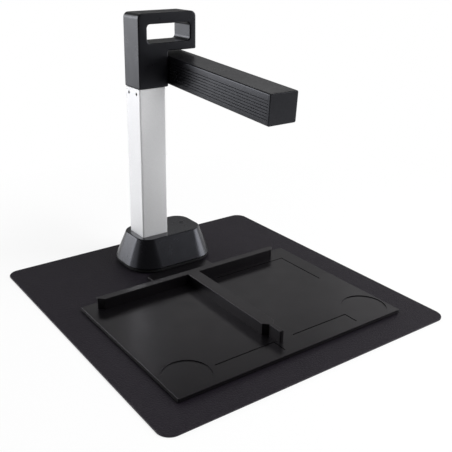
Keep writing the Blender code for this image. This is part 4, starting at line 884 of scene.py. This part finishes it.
class SCANNER_OT_head(Operator):
    """Head with its handle slot, and the cover and screws in its back"""

    bl_idname = "scanner.head"
    bl_label = "Head"

    def shape(self, sizes, low, high, inset, big, small):
        """Upside-down L seen from the front."""
        leg = low.x + sizes.leg_width - inset
        under = high.z - sizes.overhang + inset
        return [(low.x + inset, low.z + inset, small), (leg, low.z + inset, small), (leg, under, small),
                (high.x - inset, under, small), (high.x - inset, high.z - inset, big),
                (low.x + inset, high.z - inset, big)]

    def slot(self, sizes, low, high, grow):
        top = high.z - sizes.slot_top
        return box(low.x + sizes.slot_left - grow, top - sizes.slot_height - grow,
                   high.x - sizes.slot_right + grow, top + grow, sizes.slot_corner + grow)

    def execute(self, context):
        sizes = settings().head
        low, high = extent("head_shell")
        wall, small = sizes.wall, sizes.small_corner
        inner = sizes.corner - wall
        shell = ring(self.shape(sizes, low, high, 0.0, sizes.corner, small),
                     self.slot(sizes, low, high, 0.0), low.y, high.y, "Y", steps=10)
        soften(shell, sizes.edge, at(crisp(shell), "Y", low.y) + at(crisp(shell), "Y", high.y))
        room = ring(self.shape(sizes, low, high, wall, inner, small),
                    self.slot(sizes, low, high, sizes.sleeve), low.y + wall, high.y + PAST, "Y")
        throat = slab(plan(*extent("column"), across=settings().column.wall), low.z - PAST, low.z + 2 * wall)
        pivot = Vector(FOLD["pos_m"])
        leg = low.x + sizes.leg_width
        eye = rod(sizes.pin_radius + CLEAR, (pivot.y, pivot.z), leg - 2 * wall, leg + PAST, "X")
        piece("head_cover", combine(shell, cut=[room, throat, eye]), finish("black_shell"), "head_shell")

        lid_low, lid_high = extent("head_rear_cover")
        lid = ring(self.shape(sizes, low, high, wall + CLEAR, inner - CLEAR, small),
                   self.slot(sizes, low, high, sizes.sleeve + CLEAR), lid_low.y, lid_high.y, "Y")
        soften(lid, sizes.lid_edge, at(crisp(lid), "Y", lid_high.y), steps=2)
        cuts = [screw(f"back_screw_{k}", f"head_screw_{k}", (0, -1, 0)) for k in range(1, 4)]
        piece("head_lid", combine(lid, cut=cuts), finish("black_shell"), "head_rear_cover")
        return {"FINISHED"}


class SCANNER_OT_arm(Operator):
    """Grooved housing of the camera arm and its end cap"""

    bl_idname = "scanner.arm"
    bl_label = "Arm"

    def execute(self, context):
        sizes = settings().arm
        low, high = extent("arm_housing", LEVEL)
        wall, tail = sizes.wall, sizes.tail_corner
        side = [(low.y, low.z, 0.0), (high.y, low.z, tail), (high.y, high.z, tail), (low.y, high.z, 0.0)]
        body = slab(side, low.x, high.x, "X")
        rims = at(crisp(body), "X", low.x) + at(crisp(body), "X", high.x)
        rims = [edge for edge in rims if max(vert.co.y for vert in edge.verts) > low.y + BITE]
        soften(body, sizes.edge, rims, steps=4)
        room = slab(box(low.x + wall, low.y - PAST, high.x - wall, high.y - wall),
                    low.z - PAST, high.z - wall)
        grooves = bmesh.new()
        for number in range(sizes.grooves):
            height = low.z + sizes.groove_low + number * sizes.groove_pitch
            half, floor = sizes.groove_width / 2, sizes.groove_width / 4
            mouth = 2 * half - floor
            for face, inward in ((low.x, sizes.groove_depth), (high.x, -sizes.groove_depth)):
                wedge = [(face - inward, height - mouth, 0.0), (face + inward, height - floor, 0.0),
                         (face + inward, height + floor, 0.0), (face - inward, height + mouth, 0.0)]
                join(grooves, slab(wedge, low.y - PAST, high.y + PAST, "Y"))
        eye = rod(settings().head.pin_radius + CLEAR, (0.0, 0.0), low.x - PAST, low.x + wall + PAST, "X")
        body = combine(body, cut=[grooves, room, eye])
        piece("arm_body", body, finish("black_shell"), "arm_housing", ARM)

        low, high = extent("arm_end_cap", LEVEL)
        cap_back = low.y + sizes.cap_thick
        cap = slab(box(low.x, low.z, high.x, high.z, sizes.edge), low.y, cap_back, "Y", steps=5)
        soften(cap, sizes.cap_edge, at(crisp(cap), "Y", low.y))
        inset = wall + CLEAR
        plug = slab(box(low.x + inset, low.z + sizes.plug_low, high.x - inset, high.z - inset),
                    cap_back - BITE, high.y, "Y")
        piece("arm_cap", combine(cap, add=[plug]), finish("black_shell"), "arm_end_cap", ARM)
        return {"FINISHED"}


class SCANNER_OT_optics(Operator):
    """Underside of the arm: cover, screws, lamp strips, window, lens and barrel"""

    bl_idname = "scanner.optics"
    bl_label = "Optics"

    def barrel(self, sizes, axis, bore):
        """Ringed tube with a collar behind, and an opening in front for the lens."""
        low, high = extent("lens_barrel", LEVEL)
        collar = (high.x - low.x) / 2
        tube, shelf, floor = collar - sizes.collar, high.z - sizes.collar_thick, low.z + sizes.recess
        chamfer, edge = sizes.bore_chamfer, sizes.barrel_edge
        profile = [(0.0, floor), (bore, floor), (bore, low.z + chamfer), (bore + chamfer, low.z),
                   (tube - edge, low.z), (tube, low.z + edge)]
        third, groove = sizes.ring_width / 3, tube - sizes.ring_depth
        for number in range(sizes.rings):
            start = low.z + sizes.ring_pitch * (number + 1)
            if start + 3 * third < shelf:
                profile += [(tube, start), (groove, start + third), (groove, start + 2 * third),
                            (tube, start + 3 * third)]
        profile += [(tube, shelf), (collar - edge, shelf), (collar, shelf + edge), (collar, high.z),
                    (0.0, high.z)]
        piece("lens_tube", turned(profile, axis, steps=64), finish("black_matte"), "lens_barrel", ARM)

    def execute(self, context):
        sizes = settings().optics
        low, high = extent("arm_bottom_cover", LEVEL)
        cover = soften(slab(plan(low, high), low.z, high.z), sizes.edge, steps=2)
        cuts = [screw(f"cover_screw_{k}", f"arm_screw_{k}", (0, 0, 1), LEVEL, ARM) for k in range(1, 5)]
        pane_low, pane_high = extent("camera_window", LEVEL)
        axis, radius = centre(pane_low, pane_high), (pane_high.x - pane_low.x) / 2
        ledge, hole = pane_low.z - CLEAR, radius - sizes.ledge
        profile = [(0.0, low.z - PAST), (hole, low.z - PAST), (hole, ledge), (radius + CLEAR, ledge),
                   (radius + CLEAR, high.z + PAST), (0.0, high.z + PAST)]
        cuts.append(turned(profile, axis, steps=64))
        flange = sizes.strip_flange
        for node in ("lamp_diffuser_1", "lamp_diffuser_2"):
            ends = extent(node, LEVEL)
            bottom, top = ends[0].z, ends[1].z
            gap = plan(*ends, sizes.gap_corner, flange - CLEAR)
            cuts.append(slab(gap, low.z - PAST, high.z + PAST, steps=3))
            lamp = slab(plan(*ends, sizes.strip_corner, flange), bottom, top - SHY, steps=3)
            soften(lamp, sizes.edge, steps=2)
            lamp = combine(lamp, add=[slab(plan(*ends), top - sizes.strip_rim, top)])
            piece(node.replace("diffuser", "strip"), lamp, finish("diffuser"), node, ARM)
        piece("arm_underside", combine(cover, cut=cuts), finish("black_matte"), "arm_bottom_cover", ARM)

        pane = rod(radius, axis, pane_low.z, pane_high.z, steps=64)
        piece("window_pane", soften(pane, sizes.pane_edge, steps=2), finish("glass"), "camera_window", ARM)
        low, high = extent("lens", LEVEL)
        radius = (high.x - low.x) / 2
        dome = [(0.0, low.z)]
        dome += [(radius * part, low.z + sizes.lens_crown * part ** 2) for part in (0.25, 0.5, 0.75, 1.0)]
        dome += [(radius, high.z), (0.0, high.z)]
        piece("front_lens", turned(dome, axis), finish("glass"), "lens", ARM)
        self.barrel(sizes, axis, radius + CLEAR)
        return {"FINISHED"}


class SCANNER_OT_inside(Operator):
    """Finishes of the solids that show as they were packed: socket, boards, ballast, hinge and leads"""

    bl_idname = "scanner.inside"
    bl_label = "Inside"

    def execute(self, context):
        for node, packed in frame["nodes"].items():
            if not packed.hide_render:
                for place in packed.material_slots:
                    place.material = finish(SLOT_OF[node])
        return {"FINISHED"}


WHITE = (1.0, 1.0, 1.0, 1.0)

# Soft lamps: name, place, target, width, height, power, tint and whether mirrors show the lamp
LAMPS = (
    ("key", (0.85, -1.25, 1.85), (0.0, 0.0, 0.1), 1.2, 1.2, 47.0, (1.0, 1.0, 1.0), False),
    ("overhead", (0.2, 0.4, 1.9), (0.0, 0.0, 0.0), 1.6, 1.6, 4.0, (1.0, 1.0, 1.0), True),
    ("back_left", (-1.35, 1.75, 0.74), (0.0, 0.1, 0.2), 1.4, 1.1, 24.0, (0.97, 0.98, 1.0), True),
    ("low_left", (-1.35, 1.75, 0.0), (0.0, 0.1, 0.2), 1.4, 0.5, 5.0, (0.97, 0.98, 1.0), True),
    ("left", (-2.0, 0.6, 0.5), (0.0, 0.1, 0.15), 1.0, 1.2, 2.9, (0.97, 0.98, 1.0), True),
    ("right", (1.6, -0.75, 0.55), (0.0, 0.1, 0.1), 0.9, 1.1, 11.5, (0.97, 0.98, 1.0), True),
    ("back", (1.35, 2.25, 1.46), (0.0, 0.1, 0.05), 1.4, 0.5, 1.65, (1.0, 1.0, 1.0), True),
    ("back_right", (1.59, 0.84, 0.88), (0.05, 0.0, 0.0), 0.8, 0.5, 0.8, (1.0, 1.0, 1.0), True),
)

# Brightness of the surroundings in mirrors, round the object from the left (0) over front, right and back
PANELS = ((0.0, 0.10), (0.08, 0.05), (0.245, 0.05), (0.29, 0.07), (0.315, 0.14), (0.335, 0.34), (0.36, 0.70),
          (0.44, 0.85), (0.52, 0.85), (0.58, 0.36), (0.66, 0.09), (0.76, 0.18), (0.84, 0.30), (0.90, 0.30),
          (0.96, 0.12))

# Share of that brightness from straight down (0) over the horizon (0.5) to straight up (1)
HEIGHTS = ((0.3, 0.7), (0.39, 0.75), (0.46, 1.15), (0.60, 1.0), (0.655, 0.8), (0.69, 1.7), (0.715, 1.7),
           (0.74, 1.2), (0.79, 0.2), (1.0, 0.2))


class SCANNER_OT_stage(Operator):
    """Pale floor, soft lamps, white surroundings and the camera"""

    bl_idname = "scanner.stage"
    bl_label = "Stage"

    def either(self, tree, *rays):
        """One for rays of any of these kinds."""
        path = add_node(tree, "ShaderNodeLightPath")
        total = path.outputs[rays[0]]
        for kind in rays[1:]:
            more = add_node(tree, "ShaderNodeMath", links={0: total, 1: path.outputs[kind]},
                            operation="MAXIMUM")
            total = more.outputs["Value"]
        return total

    def mix(self, tree, amount, first, second):
        """Shader between two others."""
        made = add_node(tree, "ShaderNodeMixShader", links={"Fac": amount, 1: first, 2: second})
        return made.outputs["Shader"]

    def floor(self, sizes):
        """Round floor that takes the shadow and fades to white for rays that show the background."""
        bm = bmesh.new()
        bmesh.ops.create_circle(bm, cap_ends=True, segments=96, radius=sizes.floor_radius)
        floor = solid("floor", bm)
        floor.location.z = -sizes.floor_drop
        made = plain("pale_floor", sizes.floor, roughness=0.9, specular=0.0)
        tree = made.node_tree
        where = add_node(tree, "ShaderNodeTexCoord")
        far = add_node(tree, "ShaderNodeVectorMath", links={0: where.outputs["Object"]}, operation="LENGTH")
        span = {"From Min": sizes.fade_start, "From Max": sizes.fade_end,
                "To Min": sizes.floor_white, "To Max": 1.0}
        fade = add_node(tree, "ShaderNodeMapRange", span, {"Value": far.outputs["Value"]})
        shown = self.either(tree, "Is Camera Ray", "Is Glossy Ray", "Is Transmission Ray")
        amount = add_node(tree, "ShaderNodeMath", links={0: shown, 1: fade.outputs["Result"]},
                          operation="MULTIPLY")
        glow = add_node(tree, "ShaderNodeEmission")
        mixed = self.mix(tree, amount.outputs["Value"], tree.nodes["Principled BSDF"].outputs["BSDF"],
                         glow.outputs["Emission"])
        tree.links.new(mixed, tree.nodes["Material Output"].inputs["Surface"])
        floor.data.materials.append(made)

    def ramp(self, tree, value, table):
        """Grey levels along a value, from (place, level) pairs."""
        made = tree.nodes.new("ShaderNodeValToRGB")
        stops = made.color_ramp.elements
        stops.remove(stops[1])
        for number, (along, level) in enumerate(table):
            stop = stops.new(along) if number else stops[0]
            stop.position = along
            stop.color = (level, level, level, 1.0)
        tree.links.new(value, made.inputs["Fac"])
        return made.outputs["Color"]

    def surroundings(self, sizes):
        """White to the eye, bright panels behind and before the object in mirrors, and a weak even fill."""
        world = bpy.data.worlds.new("studio")
        bpy.context.scene.world = world
        world.use_nodes = True
        tree = world.node_tree
        fill = tree.nodes["Background"]
        fill.inputs["Color"].default_value = WHITE
        fill.inputs["Strength"].default_value = sizes.fill
        where = add_node(tree, "ShaderNodeTexCoord").outputs["Generated"]
        around = add_node(tree, "ShaderNodeTexGradient", links={"Vector": where}, gradient_type="RADIAL")
        split = add_node(tree, "ShaderNodeSeparateXYZ", links={"Vector": where})
        height = add_node(tree, "ShaderNodeMapRange", {"From Min": -1.0}, {"Value": split.outputs["Z"]})
        mirrored = add_node(tree, "ShaderNodeBackground", links={
            "Color": self.ramp(tree, around.outputs["Fac"], PANELS),
            "Strength": self.ramp(tree, height.outputs["Result"], HEIGHTS)})
        glossy = self.mix(tree, self.either(tree, "Is Glossy Ray"), fill.outputs["Background"],
                          mirrored.outputs["Background"])
        white = add_node(tree, "ShaderNodeBackground", {"Color": WHITE})
        mixed = self.mix(tree, self.either(tree, "Is Camera Ray", "Is Transmission Ray"), glossy,
                         white.outputs["Background"])
        tree.links.new(mixed, tree.nodes["World Output"].inputs["Surface"])

    def lamp(self, name, place, target, width, height, power, tint, mirrored):
        """Rectangular soft lamp that faces a target."""
        light = bpy.data.lights.new(name, "AREA")
        light.shape = "RECTANGLE"
        light.size = width
        light.size_y = height
        light.energy = power
        light.color = tint
        made = bpy.data.objects.new(name, light)
        made.location = place
        made.rotation_euler = (Vector(target) - Vector(place)).to_track_quat("-Z", "Y").to_euler()
        made.visible_camera = False
        made.visible_glossy = mirrored
        bpy.context.scene.collection.objects.link(made)

    def execute(self, context):
        sizes = settings().stage
        self.floor(sizes)
        self.surroundings(sizes)
        for row in LAMPS:
            self.lamp(*row)
        camera = bpy.data.cameras.new("camera")
        camera.sensor_fit = "HORIZONTAL"
        camera.sensor_width = 36.0
        camera.lens = sizes.lens
        camera.shift_x, camera.shift_y = sizes.shift
        camera.clip_start = 0.01
        made = bpy.data.objects.new("camera", camera)
        made.location = sizes.camera
        made.rotation_euler = (pi / 2 - sizes.tilt, 0.0, -sizes.heading)
        context.scene.collection.objects.link(made)
        context.scene.camera = made
        context.scene.view_settings.view_transform = "Standard"
        return {"FINISHED"}


class SCANNER_PT_sidebar(Panel):
    """Buttons and sizes in the 3D view's sidebar"""

    bl_idname = "SCANNER_PT_sidebar"
    bl_label = "Document Scanner"
    bl_space_type = "VIEW_3D"
    bl_region_type = "UI"
    bl_category = "Scanner"

    def draw(self, context):
        for operator in OPERATORS:
            self.layout.operator(operator.bl_idname)
        for group in ScannerSettings.__annotations__:
            column = self.layout.column(align=True)
            column.label(text=group.title())
            part = getattr(context.scene.scanner, group)
            for name in type(part).__annotations__:
                column.prop(part, name)


GROUPS = (MatSettings, TraySettings, BaseSettings, HeadSettings, ColumnSettings, ArmSettings,
          OpticsSettings, FinishSettings, StageSettings, ScannerSettings)
OPERATORS = (SCANNER_OT_stage, SCANNER_OT_mat, SCANNER_OT_tray, SCANNER_OT_base, SCANNER_OT_column,
             SCANNER_OT_head, SCANNER_OT_arm, SCANNER_OT_optics, SCANNER_OT_inside)


def register():
    for item in (*GROUPS, *OPERATORS, SCANNER_PT_sidebar):
        bpy.utils.register_class(item)
    bpy.types.Scene.scanner = PointerProperty(type=ScannerSettings, name="Scanner",
                                              description="Scanner looks")


def unregister():
    del bpy.types.Scene.scanner
    for item in reversed((*GROUPS, *OPERATORS, SCANNER_PT_sidebar)):
        bpy.utils.unregister_class(item)


def main():
    register()
    bpy.ops.scanner.stage()
    bpy.ops.scanner.mat()
    bpy.ops.scanner.tray()
    bpy.ops.scanner.base()
    bpy.ops.scanner.column()
    bpy.ops.scanner.head()
    bpy.ops.scanner.arm()
    bpy.ops.scanner.optics()
    bpy.ops.scanner.inside()


if __name__ == "__main__":
    main()
